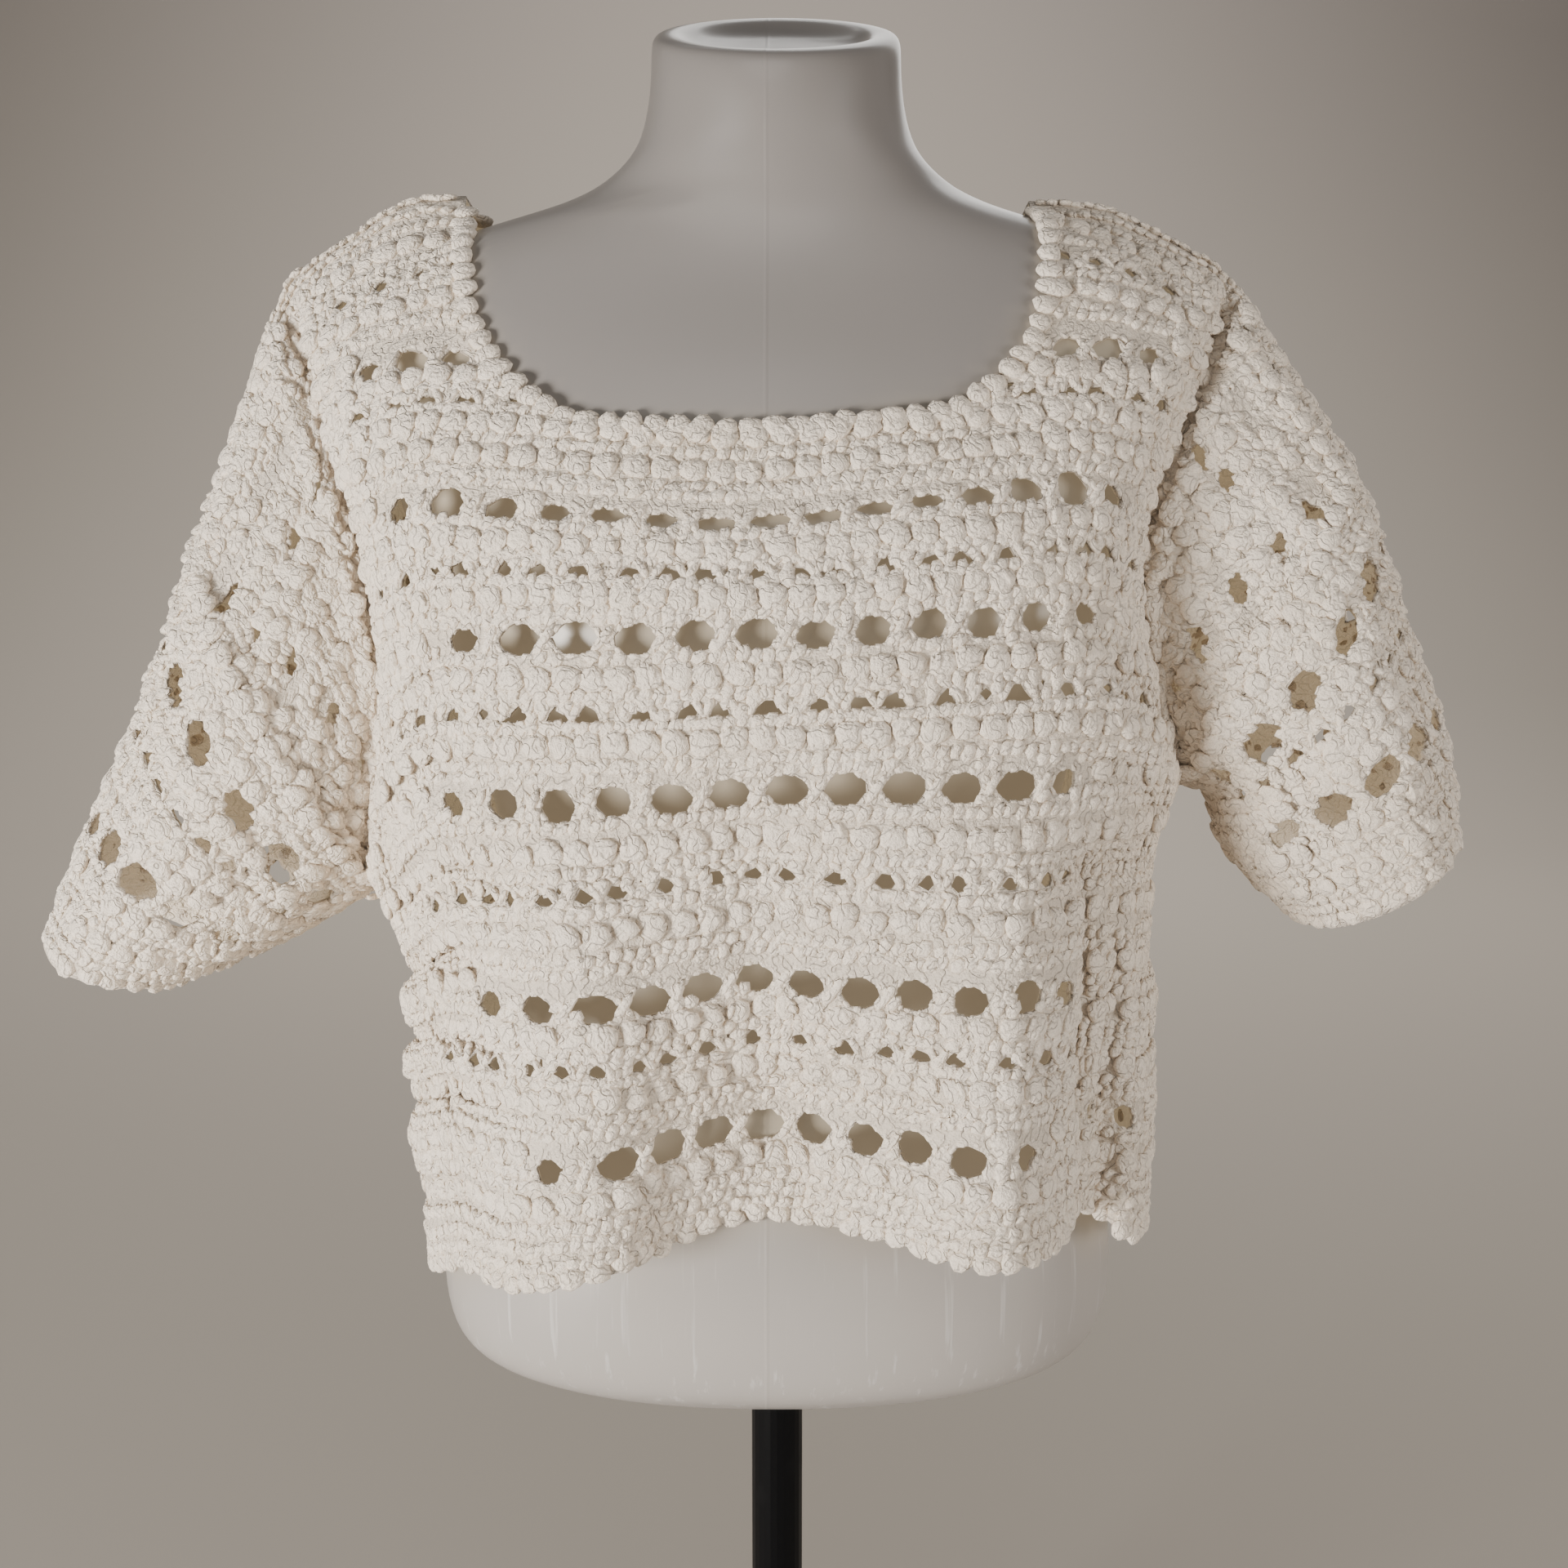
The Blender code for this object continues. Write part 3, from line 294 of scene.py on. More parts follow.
def soften(points, rounds, keep):
    for _ in range(rounds):
        moved = points.copy()
        moved[1:-1, 1:-1] = 0.4 * points[1:-1, 1:-1] + 0.15 * (
            points[:-2, 1:-1] + points[2:, 1:-1] + points[1:-1, :-2] + points[1:-1, 2:])
        moved[keep] = points[keep]
        points = moved
    return points


def restOn(points, tree, clear, rounds=4):  # pushes a grid of points out of the form
    flat = points.reshape(-1, 3)
    for _ in range(rounds):
        most = 0.0
        for i, p in enumerate(flat):
            spot = Vector(p)
            near, normal, _, dist = tree.find_nearest(spot)
            height = dist if (spot - near).dot(normal) > 0 else -dist
            if height < clear:
                flat[i] = p + np.array(normal) * (clear - height)
                most = max(most, clear - height)
        if most < 1e-5:
            break
    return flat.reshape(points.shape)


def seamAxis(ring, sign):
    axis = np.cross(np.array((ring["xt"] - ring["xb"], 0.0, ring["zt"] - ring["zb"])), (0.0, 1.0, 0.0))
    return axis * math.copysign(1.0, axis[0] * sign) / np.linalg.norm(axis)


def seamDirection(ring, point):  # out of the sleeve's seam ring, in the ring's plane
    mid = np.array(((ring["xt"] + ring["xb"]) / 2, 0.0, (ring["zt"] + ring["zb"]) / 2)) * mm
    top = np.array((ring["xt"] - ring["xb"], 0.0, ring["zt"] - ring["zb"])) * mm / 2
    half = np.linalg.norm(top)
    out = point - mid
    depth = (ring["front"] if out[1] < 0 else ring["back"]) * mm
    direction = top / half * out.dot(top / half) / half ** 2
    direction[1] = out[1] / depth ** 2
    return unit(direction)


def beneath(turn):  # 0 along most of a sleeve's ring, up to 1 at its underside
    return clamp((turn - 0.8) / 0.2)


def underarmTurn(direction, sign, amount):
    return unit(direction + np.array((sign * cloth["underarmTurn"] * amount, 0.0, 0.0)))


class Patch:  # a piece of cloth with its own (u, v) in mm: u across a row, v from row to row
    def __init__(self, u, v, inner, normal, thick, narrow):
        self.u, self.v = u, v
        self.inner, self.normal, self.thick = inner, normal, thick
        self.shade = 1 - 0.045 * clamp(narrow, 0, 6)  # painted shade, darker down in the narrow creases
        self.field = None  # mm from the nearest opening, once the ground is cut

    def at(self, u, v):
        i = (np.asarray(v, float) - self.v[0]) / (self.v[1] - self.v[0])
        j = (np.asarray(u, float) - self.u[0]) / (self.u[1] - self.u[0])
        i0 = np.clip(np.floor(i).astype(int), 0, len(self.v) - 2)
        j0 = np.clip(np.floor(j).astype(int), 0, len(self.u) - 2)
        a = (i - i0)[..., None]
        b = (j - j0)[..., None]
        found = []
        for data in (self.inner, self.normal, self.thick[..., None]):
            top = data[i0, j0] * (1 - b) + data[i0, j0 + 1] * b
            low = data[i0 + 1, j0] * (1 - b) + data[i0 + 1, j0 + 1] * b
            found.append(top * (1 - a) + low * a)
        return found[0], unit(found[1]), found[2]

    def face(self, u, v):  # a place on the ground's outer face
        point, normal, thick = self.at(u, v)
        return point + normal * thick * cloth["ground"] * mm

    def nearest(self, data, u, v):
        i = np.clip(np.rint((v - self.v[0]) / (self.v[1] - self.v[0])).astype(int), 0, len(self.v) - 1)
        j = np.clip(np.rint((u - self.u[0]) / (self.u[1] - self.u[0])).astype(int), 0, len(self.u) - 1)
        return data[i, j]

    def frames(self, u, v):  # place, out, along the row and down, and the pull of the two last
        step = 1.5
        run = (self.face(u + step, v) - self.face(u - step, v)) / (2 * step * mm)
        fall = (self.face(u, v + step) - self.face(u, v - step)) / (2 * step * mm)
        across = np.linalg.norm(run, axis=-1)
        down = np.linalg.norm(fall, axis=-1)
        out = self.at(u, v)[1]
        run = unit(run - out * (run * out).sum(-1, keepdims=True))
        low = np.cross(out, run)
        low *= np.sign((low * fall).sum(-1, keepdims=True))
        return self.face(u, v), out, run, low, np.maximum(across, 0.3), np.maximum(down, 0.3)

    def pull(self, u, v):  # the mm that a mm of the flat cloth spans there, across and down
        across, down = self.frames(np.array((u,), float), np.array((v,), float))[4:]
        return float(across[0]), float(down[0])


def bodyPatch(rows, foldRows, side, tree):
    table = smoothTable(rows, rowNames)
    folds = [dict(zip(foldNames, f)) for f in foldRows]
    columns, lines = panelColumns(), panelLines()
    grid = np.array([panelRow(table, v, side, folds, columns) for v in lines]) * mm
    neckRow = int(np.argmax(lines >= neckDepths["front" if side < 0 else "back"]))
    keep = np.zeros(grid.shape[:2], bool)
    keep[: neckRow + 1, np.abs(columns) < cloth["neckColumn"] + 0.1] = True
    grid = soften(grid, 1, keep)
    inside = np.abs(columns) < cloth["firm"]  # the chest keeps its shape, the armholes are softened
    far = keep | inside[None, :] | (lines < cloth["softFrom"])[:, None]
    grid = soften(grid, cloth["softRounds"], far | (lines > cloth["softTo"])[:, None])
    far = far | (lines > cloth["smoothTo"])[:, None]
    halfGap = cloth["gap"] * mm / 2
    normals = unit(np.cross(np.gradient(grid, axis=1), np.gradient(grid, axis=0))) * side
    for edge, sign, rings in ((0, -1, leftRings), (-1, 1, rightRings)):
        ring = seamRing(rings)
        axis = seamAxis(ring, sign)
        for i, v in enumerate(lines):
            if v > cloth["armhole"] + 1:
                normals[i, edge] = (sign, 0.0, 0.0)
                continue
            amount = float(beneath(table(v)["g"]))
            normals[i, edge] = underarmTurn(seamDirection(ring, grid[i, edge]), sign, amount)
            for k, share in ((1, 1.0), (2, 0.8), (3, 0.5), (4, 0.25)):
                j = k if edge == 0 else -1 - k
                normals[i, j] = unit(normals[i, j] - axis * normals[i, j].dot(axis) * share)
    ridge = np.gradient(grid[0], axis=0)
    ends = normals[0, 0].copy(), normals[0, -1].copy()
    normals[0] = unit(np.stack((-ridge[:, 2], np.zeros(len(ridge)), ridge[:, 0]), axis=1))
    normals[0, 0], normals[0, -1] = ends
    normals = unit(soften(normals, 8, far))
    wide = np.full(grid.shape[:2], 1.0)
    steps = np.linalg.norm(np.diff(grid, axis=1), axis=2)
    wide[:, :-1] = np.minimum(wide[:, :-1], steps)
    wide[:, 1:] = np.minimum(wide[:, 1:], steps)
    thick = clamp((wide - 1.0 * mm) / (6.0 * mm), cloth["thinShare"], 1.0)
    half = cloth["panelHalf"]
    u = np.linspace(-half, half, int(2 * half / cloth["cell"]) + 1)
    v = np.linspace(0, cloth["panelLong"], int(cloth["panelLong"] / cloth["cell"]) + 1)
    inner = unevenness(overGrid(smoothLine, lines, columns, grid, u, v), u, v, side)
    normal = unit(overGrid(straightLine, lines, columns, normals, u, v))
    deep, narrow = creasesOf(frontCreases if side < 0 else backCreases, u, v)
    inner -= normal * deep[..., None] * mm
    edges = {edge: inner[:, edge].copy() for edge in (0, -1)}
    inner = restOn(inner, tree, cloth["rest"] * mm)
    for edge in (0, -1):
        inner[:, edge] = edges[edge]
        inner[v > cloth["armhole"] - 1, edge, 1] = side * halfGap
    inner[0, :, 1] = side * halfGap
    thick = overGrid(straightLine, lines, columns, thick, u, v)
    return Patch(u, v, inner, normal, thick, narrow)


def creasesOf(creases, u, v):  # how deep the creases are, in mm, and the narrow ones alone, which take a painted shade
    uu, vv = np.meshgrid(u, v)
    deep, narrow = np.zeros(uu.shape), np.zeros(uu.shape)
    for au, av, bu, bv, wide, most in creases:
        length = math.hypot(bu - au, bv - av)
        share = ((uu - au) * (bu - au) + (vv - av) * (bv - av)) / length ** 2
        wander = 2.5 * np.sin(share * 7 + au)
        off = ((uu - au) * (bv - av) - (vv - av) * (bu - au)) / length + wander
        ends = clamp(share * 6 + 0.6) * clamp((1 - share) * 3.5)
        here = most * np.exp(-(off / wide) ** 2) * ends * (share > -0.1) * (share < 1)
        deep += here
        narrow += here * (wide < 12)
    return deep, narrow


def unevenness(inner, u, v, side):  # hand-made rows are never quite straight
    uu, vv = np.meshgrid(u, v)
    fade = clamp(vv / 60) * clamp((cloth["panelHalf"] - np.abs(uu)) / 40)
    wave = 0.9 * np.sin(uu / 31 + vv / 57 + side) + 0.7 * np.sin(uu / 17 - vv / 23 + 2 * side)
    inner[..., 1] += side * wave * fade * mm * 0.6
    inner[..., 2] += 0.8 * np.sin(uu / 43 + vv / 19 + side) * fade * mm
    return inner


def sleevePatch(rings, sign):
    table = smoothTable(rings, ringNames)
    half = cloth["sleeveHalfRound"]
    u = np.linspace(-half, half, int(2 * half / cloth["cell"]) + 1)
    v = np.linspace(0, cloth["sleeveLong"], int(cloth["sleeveLong"] / cloth["cell"]) + 1)
    inner = np.zeros((len(v), len(u), 3))
    normal = np.zeros_like(inner)
    thick = np.ones((len(v), len(u)))
    gap = cloth["gap"] * mm
    for i, s in enumerate(v):
        ring = table(s)
        for j, a in enumerate(u / half * math.pi):
            inner[i, j] = ringPoint(ring, a) * mm
            normal[i, j] = seamDirection(ring, inner[i, j])
    under = beneath(np.abs(u) / half)
    near = clamp(1 - v / 14)
    apart = near[:, None, None] * (1 + 1.2 * under)[None, :, None]
    inner += apart * seamAxis(seamRing(rings), sign) * gap
    turn = near[:, None] * under[None, :]
    normal[..., 0] += sign * cloth["underarmTurn"] * turn
    thick *= 1 - (1 - cloth["thinShare"]) * turn
    normal = unit(normal)
    fade = clamp(v / 20)[:, None] * clamp((half - np.abs(u)) / 20)[None, :]
    deep, narrow = creasesOf(sleeveCreases, u, v)
    inner -= normal * (deep * fade)[..., None] * mm
    inner[:, 0, 1] = gap / 2
    inner[:, -1, 1] = -gap / 2
    return Patch(u, v, inner, normal, thick, narrow)


# Openings in the ground. Each is a ring of corners round its centre, in mm, v downwards
Opening = namedtuple("Opening", "corners u v wide tall row")
largeEyelet = ((-8.5, 1.0), (-3.9, -6.6), (3.6, -7.0), (8.3, -1.2), (4.8, 6.5), (-4.0, 6.8))
smallEyelet = ((-6.2, 3.4), (-1.7, -3.6), (1.6, -3.8), (6.3, 3.5))
slit = ((-1.6, -3.6), (1.9, -3.2), (1.5, 2.6), (-1.0, 3.0))
# Shares of those sizes, spaces in mm, and where folds leave no room for small ones
eyelets = {
    "outer": (0.8, 0.95), "atEnds": 0.8, "onSleeve": 1.22, "wide": (0.98, 1.14), "tall": (0.95, 1.12),
    "chestRow": 150, "chestTall": 0.45, "chestHalf": 70.0, "chestFade": 50.0,
    "belowTall": 0.88, "otherTall": 0.95,
    "smallPitch": 16.4, "smallWide": (0.75, 1.0), "smallTall": (0.7, 1.05), "smallOuter": 0.6,
    "slitShare": 0.7, "slitSize": 0.8, "apart": 20.0,
    "armholeFold": (180, 212), "flapFold": (133, 186), "flapFrom": 310,
}


def openingField(uu, vv, corners, u, v, wide, tall):  # mm outside an opening's sides
    points = [(u + a * wide, v + b * tall) for a, b in corners]
    field = np.full(uu.shape, -1e9)
    for (au, av), (bu, bv) in zip(points, points[1:] + points[:1]):
        length = math.hypot(bu - au, bv - av)
        out = (uu - au) * (bv - av) / length - (vv - av) * (bu - au) / length
        field = np.maximum(field, out)
    return field


def rowPlan(bigs, top, low):  # every row between the large eyelets, as (distance, kind)
    plan = list(top) + [(bigs[0], "big")]
    between = ((0.155, "chain"), (0.27, "bobble"), (0.385, "chain"), (0.5, "small"),
               (0.62, "chain"), (0.735, "bobble"), (0.85, "chain"))
    for a, b in zip(bigs, bigs[1:]):
        if b - a > 80:  # the yoke and the sleeves have more
            rows = ((9.5, "chain"), (17, "bobble"), (24.5, "chain"), (33, "small"), (41.5, "chain"),
                    (49, "bobble"), (57, "chain"), (65, "bobble"), (73, "chain"))
            plan += [(a + d * (b - a) / 82, kind) for d, kind in rows]
        else:
            plan += [(a + (b - a) * d, kind) for d, kind in between]
        plan.append((b, "big"))
    return plan + list(low)


bodyPlan = rowPlan(
    bigRows,
    ((0.5, "chain"), (6, "chain"), (12, "chain"), (20, "bobble"), (28, "chain"), (35, "small"),
     (43, "chain"), (51, "bobble"), (59.5, "chain")),
    ((424, "chain"), (431, "bobble"), (438, "chain"), (443.5, "chain"), (449, "chain"), (453.5, "border")),
)
sleevePlan = rowPlan(
    sleeveBigRows,
    ((0.5, "bobble"), (8, "chain"), (14, "chain"), (20, "bobble"), (27, "chain")),
    ((127.5, "chain"), (135, "bobble"), (142.5, "chain"), (149, "chain"), (156, "bobble"), (163, "chain"),
     (169.5, "chain"), (177, "border")),
)


def eyeletTallness(kind, v, u):  # some eyelets are pulled nearly shut across the chest
    if kind == "front" and v == eyelets["chestRow"]:
        least, beyond = eyelets["chestTall"], abs(u + 4) - eyelets["chestHalf"]
        return least + (1 - least) * float(clamp(beyond / eyelets["chestFade"]))
    return eyelets["belowTall" if kind == "front" and v == cloth["chest"] else "otherTall"]


def folded(kind, u, v):  # where the folds of the armholes or of the flap leave no room
    low, high = eyelets["armholeFold"]
    flapLeft, flapRight = eyelets["flapFold"]
    inArmhole = kind in neckDepths and low < abs(u) < high
    return inArmhole or (kind == "front" and v > eyelets["flapFrom"] and flapLeft < u < flapRight)


def openingsOf(kind, plan, patch):  # every opening of a patch
    found = []
    table = {"front": frontEyelets, "back": backEyelets}.get(kind, sleeveEyelets)
    onBody = kind in neckDepths

    def cut(corners, u, v, wide, tall, row):
        across, down = patch.pull(u, v)
        found.append(Opening(corners, u, v, wide / across, tall / down, row))

    if onBody:
        for sign in (-1, 1):
            for u, v, size in outerEyelets:
                size *= rng.uniform(*eyelets["outer"])
                u = sign * u + rng.uniform(-1, 1)
                cut(largeEyelet, u, v + rng.uniform(-1.5, 1.5), size, size, "big")
    for v, row in plan:
        if row == "big":
            for first, last, count, lower in table[v]:
                for u in np.linspace(first, last, count):
                    size = eyelets["atEnds"] if u in (first, last) else 1.0
                    size *= 1.0 if onBody else eyelets["onSleeve"]
                    wide = rng.uniform(*eyelets["wide"]) * size
                    tall = eyeletTallness(kind, v, u) * rng.uniform(*eyelets["tall"]) * size
                    cut(largeEyelet, float(u), v + lower + rng.uniform(-0.8, 0.8), wide, tall, row)
        if row == "small":
            u = -patch.u[-1] + 11.0
            while u < patch.u[-1] - 9:
                across = patch.pull(u, v)[0]
                wide, tall = rng.uniform(*eyelets["smallWide"]), rng.uniform(*eyelets["smallTall"])
                if onBody and abs(u) >= eyelets["armholeFold"][1]:
                    wide, tall = wide * eyelets["smallOuter"], tall * eyelets["smallOuter"]
                bigs = [o for o in found if o.row == "big"]
                near = any(math.hypot(o.u - u, o.v - v) < eyelets["apart"] for o in bigs)
                if not near and not folded(kind, u, v):
                    cut(smallEyelet, u, v + 1.2, wide, tall, row)
                    if rng.random() < eyelets["slitShare"]:
                        small = eyelets["slitSize"]
                        beside = u + eyelets["smallPitch"] / 2 / across
                        cut(slit, beside, v - 2.4, wide * small, tall * small, "slit")
                u += eyelets["smallPitch"] / across
    return found


def neckField(uu, vv, depth):  # mm outside the neck's round-cornered opening
    r = cloth["neckCorner"]
    du = np.abs(uu) - (cloth["neckColumn"] - r)
    dv = vv - (depth - r)
    outside = np.hypot(np.maximum(du, 0), np.maximum(dv, 0)) + np.minimum(np.maximum(du, dv), 0)
    return outside - r


def inNeck(kind, u, v, margin=0.0):
    return kind in neckDepths and neckField(u, v, neckDepths[kind]) < margin


def groundMesh(name, kind, patch, openings):
    uu, vv = np.meshgrid(patch.u, patch.v)
    field = np.full(uu.shape, 1e3)
    for corners, u, v, wide, tall, _ in openings:
        high, broad = 9 * tall + 8, 11 * wide + 8  # a little more than the opening reaches
        i0, i1 = np.searchsorted(patch.v, (v - high, v + high))
        j0, j1 = np.searchsorted(patch.u, (u - broad, u + broad))
        window = slice(i0, i1), slice(j0, j1)
        here = openingField(uu[window], vv[window], corners, u, v, wide, tall)
        field[window] = np.minimum(field[window], here)
    if kind in neckDepths:
        field = np.minimum(field, neckField(uu, vv, neckDepths[kind]))
    field[np.abs(field) < 0.02] = 0.02  # no crossing falls on a corner
    patch.field = field
    rows, cols = field.shape
    spots, index = [], {}

    def corner(here):
        if here not in index:
            index[here] = len(spots)
            spots.append([uu[here], vv[here]])
        return index[here]

    def crossing(here, there):
        key = tuple(sorted((here, there)))
        if key not in index:
            t = field[here] / (field[here] - field[there])
            index[key] = len(spots)
            spots.append([axis[here] + (axis[there] - axis[here]) * t for axis in (uu, vv)])
        return index[key]

    polygons, rims = [], []
    for i in range(rows - 1):
        for j in range(cols - 1):
            around = ((i, j), (i, j + 1), (i + 1, j + 1), (i + 1, j))
            signs = [field[c] > 0 for c in around]
            if not any(signs):
                continue
            polygon, cut = [], []
            for k in range(4):
                here, there = around[k], around[(k + 1) % 4]
                if signs[k]:
                    polygon.append(corner(here))
                    cut.append(None)
                if signs[k] != signs[(k + 1) % 4]:
                    polygon.append(crossing(here, there))
                    cut.append("out" if signs[k] else "in")
            polygons.append(polygon)
            for k, mark in enumerate(cut):
                after = (k + 1) % len(polygon)
                if mark == "out" and cut[after] == "in":
                    rims.append((polygon[k], polygon[after]))
            borders = ((i == 0, 0, 1), (j == cols - 2, 1, 2), (i == rows - 2, 2, 3), (j == 0, 3, 0))
            for at, a, b in borders:
                if not at:
                    continue
                ends = [corner(around[c]) for c in (a, b) if signs[c]]
                if signs[a] != signs[b]:
                    middle = crossing(around[a], around[b])
                    ends = [ends[0], middle] if signs[a] else [middle, ends[0]]
                if ends:
                    rims.append(tuple(ends))
    spots = np.array(spots)
    point, normal, thick = patch.at(spots[:, 0], spots[:, 1])
    outer = point + normal * thick * cloth["ground"] * mm
    count = len(spots)
    faces = [tuple(p) for p in polygons]
    faces += [tuple(count + q for q in reversed(p)) for p in polygons]
    faces += [(b, a, a + count, b + count) for a, b in rims]
    verts = np.concatenate((outer, point))
    uvs = np.concatenate((spots, spots)) * 0.1
    toneAndShade = np.repeat((0.5, -1.0), count)  # the outer face a little darker, a painted shade between the stitches; below nothing on the inside marks its painted glow
    return clothObject(name, verts, faces, uvs, toneAndShade, closed=True)


def placed(name, data):  # a new object in the scene
    piece = bpy.data.objects.new(name, data)
    bpy.context.scene.collection.objects.link(piece)
    return piece


def clothObject(name, verts, faces, uvs, toneAndShade, closed=False):
    mesh = bpy.data.meshes.new(name)
    mesh.from_pydata(verts.tolist(), [], faces)
    if closed:
        shell = bmesh.new()
        shell.from_mesh(mesh)
        bmesh.ops.recalc_face_normals(shell, faces=shell.faces)
        shell.to_mesh(mesh)
        shell.free()
    layer = mesh.uv_layers.new(name="strand")
    corners = np.zeros(len(mesh.loops), np.int32)
    mesh.loops.foreach_get("vertex_index", corners)
    layer.data.foreach_set("uv", np.asarray(uvs, np.float32)[corners].ravel())
    shade = mesh.attributes.new("toneAndShade", "FLOAT", "POINT")
    shade.data.foreach_set("value", np.asarray(toneAndShade, np.float32))
    mesh.shade_smooth()
    return placed(name, mesh)


# Stitches: closed small lumps of yarn, laid on the ground by their (u, v)
def lumpShape(around, rings):  # rings are (height, radius) from beneath to the top
    points = [(0.0, 0.0, -1.0)]
    for height, radius in rings:
        for k in range(around):
            a = 2 * math.pi * k / around
            points.append((radius * math.cos(a), radius * math.sin(a), height))
    points.append((0.0, 0.0, 1.0))
    top = len(points) - 1
    faces = [(0, 1 + (k + 1) % around, 1 + k) for k in range(around)]
    for r in range(len(rings) - 1):
        for k in range(around):
            a, b = 1 + r * around + k, 1 + r * around + (k + 1) % around
            faces.append((a, b, b + around, a + around))
    last = 1 + (len(rings) - 1) * around
    faces += [(last + k, last + (k + 1) % around, top) for k in range(around)]
    return np.array(points), faces


loopLump = lumpShape(6, ((-0.7, 0.72), (0.05, 1.0), (0.72, 0.7)))
puffLump = lumpShape(10, ((-0.6, 0.86), (0.0, 1.0), (0.5, 0.9), (0.86, 0.55)))


class Stitches:  # gathers stitches of one patch and makes them one mesh
    def __init__(self, patch):
        self.patch = patch
        self.verts, self.faces, self.uvs, self.tonesAndShade = [], [], [], []
        self.count = 0

    def lay(self, lump, u, v, long, wide, tall, turn, base, swirl=False):  # sizes are mm on the cloth
        shape, faces = lump
        u, v = np.atleast_1d(u).astype(float), np.atleast_1d(v).astype(float)
        n = len(u)
        if n == 0:
            return
        long, wide, tall, turn, base = (
            np.broadcast_to(np.asarray(x, float), (n,))[:, None] for x in (long, wide, tall, turn, base))
        a, b, c = shape[:, 0][None], shape[:, 1][None], shape[:, 2][None]
        if swirl:  # gathered strands make a knob lumpy and a little lopsided
            phase = rng.uniform(0, 2 * math.pi, n)[:, None]
            lobes = 1 + 0.09 * np.cos(3 * np.arctan2(b, a) + phase) * (np.hypot(a, b) > 0.3)
            a, b = a * lobes, b * lobes
        x, y = a * long, b * wide
        across = x * np.cos(turn) - y * np.sin(turn)
        down = x * np.sin(turn) + y * np.cos(turn)
        height = base + c * tall
        place, out, run, low = (part[:, None] for part in self.patch.frames(u, v)[:4])
        points = place + mm * (across[..., None] * run + down[..., None] * low + height[..., None] * out)
        self.verts.append(points.reshape(-1, 3))
        shift = rng.uniform(0, 9, n)[:, None]
        over = np.hypot(x, y) * 0.1 + shift if swirl else y * 0.1
        self.uvs.append(np.stack((x * 0.1 + shift, over), axis=-1).reshape(-1, 2))
        own = rng.uniform(0.84, 1.0, n)[:, None]
        # painted shade: each lump darker towards its base, and darker again down in the narrow creases; the
        # random share is the stitch's own tone
        depth = clamp((c + 0.9) / 1.3)
        own = own * self.patch.nearest(self.patch.shade, u, v)[:, None]
        self.tonesAndShade.append((own * (0.45 + 0.55 * depth)).ravel())
        size = len(shape)
        for k in range(n):
            start = self.count + k * size
            self.faces += [tuple(start + q for q in face) for face in faces]
        self.count += n * size

    def mesh(self, name):
        return clothObject(name, np.concatenate(self.verts), self.faces,
                           np.concatenate(self.uvs), np.concatenate(self.tonesAndShade))


# Stitches in mm on the cloth, half sizes, as (least, most) where they vary; turns in radians
stitches = {
    "chain": {"pitch": 5.35, "wander": 0.7, "room": 0.8, "turn": (-0.5, 0.5), "slant": math.radians(-40),
              "long": (3.8, 4.9), "wide": (2.6, 3.4), "tall": (1.3, 2.0), "base": (-0.6, 0.0)},
    "bobble": {"pitch": 11.4, "wander": 1.0, "room": 3.0, "long": (5.8, 6.8), "wide": (5.2, 6.2),
               "tall": (1.8, 2.6), "turn": (-0.5, 0.5), "base": (-0.3, 0.4)},
    "strand": {"aside": 2.4, "up": 1.0, "long": (3.8, 5.0), "wide": (1.4, 1.9), "tall": 1.4,
               "turn": (0.8, 1.4), "base": (0.6, 1.2)},
    "border": {"pitch": 10.6, "wander": 0.9, "room": 1.0, "long": (5.2, 6.1), "wide": (4.0, 5.0),
               "tall": (2.3, 2.9), "turn": (-0.5, 0.5), "base": -0.7},
    "neck": {"pitch": 9.6, "drift": (-0.8, 0.8), "long": (4.9, 5.8), "wide": (4.6, 5.6),
             "tall": (2.3, 2.9), "turn": 0.0, "base": -0.5},
    "edge": {"pitch": 5.0, "out": 1.08, "long": (2.4, 3.1), "wide": (1.2, 1.6), "tall": 1.4, "base": -0.9},
}


def drawn(kind, n, names):  # a value for each of n stitches, drawn in the order of the names
    values = [stitches[kind][name] for name in names.split()]
    return [rng.uniform(*value, n) if isinstance(value, tuple) else value for value in values]


def spread(into, v, kind, room=None):  # places along a row, at an even pitch on the cloth
    pitch, wander = stitches[kind]["pitch"], stitches[kind]["wander"]
    room = room or stitches[kind]["room"]
    u = np.arange(into.patch.u[0] + 1, into.patch.u[-1], 1.0)
    length = lengthsOf(into.patch.face(u, np.full(len(u), float(v)))) / mm
    count = int(length[-1] / pitch)
    wanted = (np.arange(count) + 0.5) * length[-1] / count
    u = np.interp(wanted + rng.uniform(-wander, wander, count), length, u)
    vv = v + rng.uniform(-wander, wander, count)
    good = into.patch.nearest(into.patch.field, u, vv) > room  # clear of the openings
    return u[good], vv[good]


def chainRow(into, v, room=None):
    u, vv = spread(into, v, "chain", room)
    turn, long, wide, tall, base = drawn("chain", len(u), "turn long wide tall base")
    into.lay(loopLump, u, vv, long, wide, tall, stitches["chain"]["slant"] + turn, base)


def knobRow(into, v, kind, room=None):
    u, vv = spread(into, v, kind, room)
    into.lay(puffLump, u, vv, *drawn(kind, len(u), "long wide tall turn base"), swirl=True)
    return u, vv


def bobbleRow(into, v, room=None):
    u, vv = knobRow(into, v, "bobble", room)
    side = rng.choice((-1.0, 1.0), len(u))  # a strand lies over one side of each knob
    aside, up = stitches["strand"]["aside"], stitches["strand"]["up"]
    long, wide, tall, turn, base = drawn("strand", len(u), "long wide tall turn base")
    into.lay(loopLump, u + side * aside, vv - up, long, wide, tall, side * turn, base)


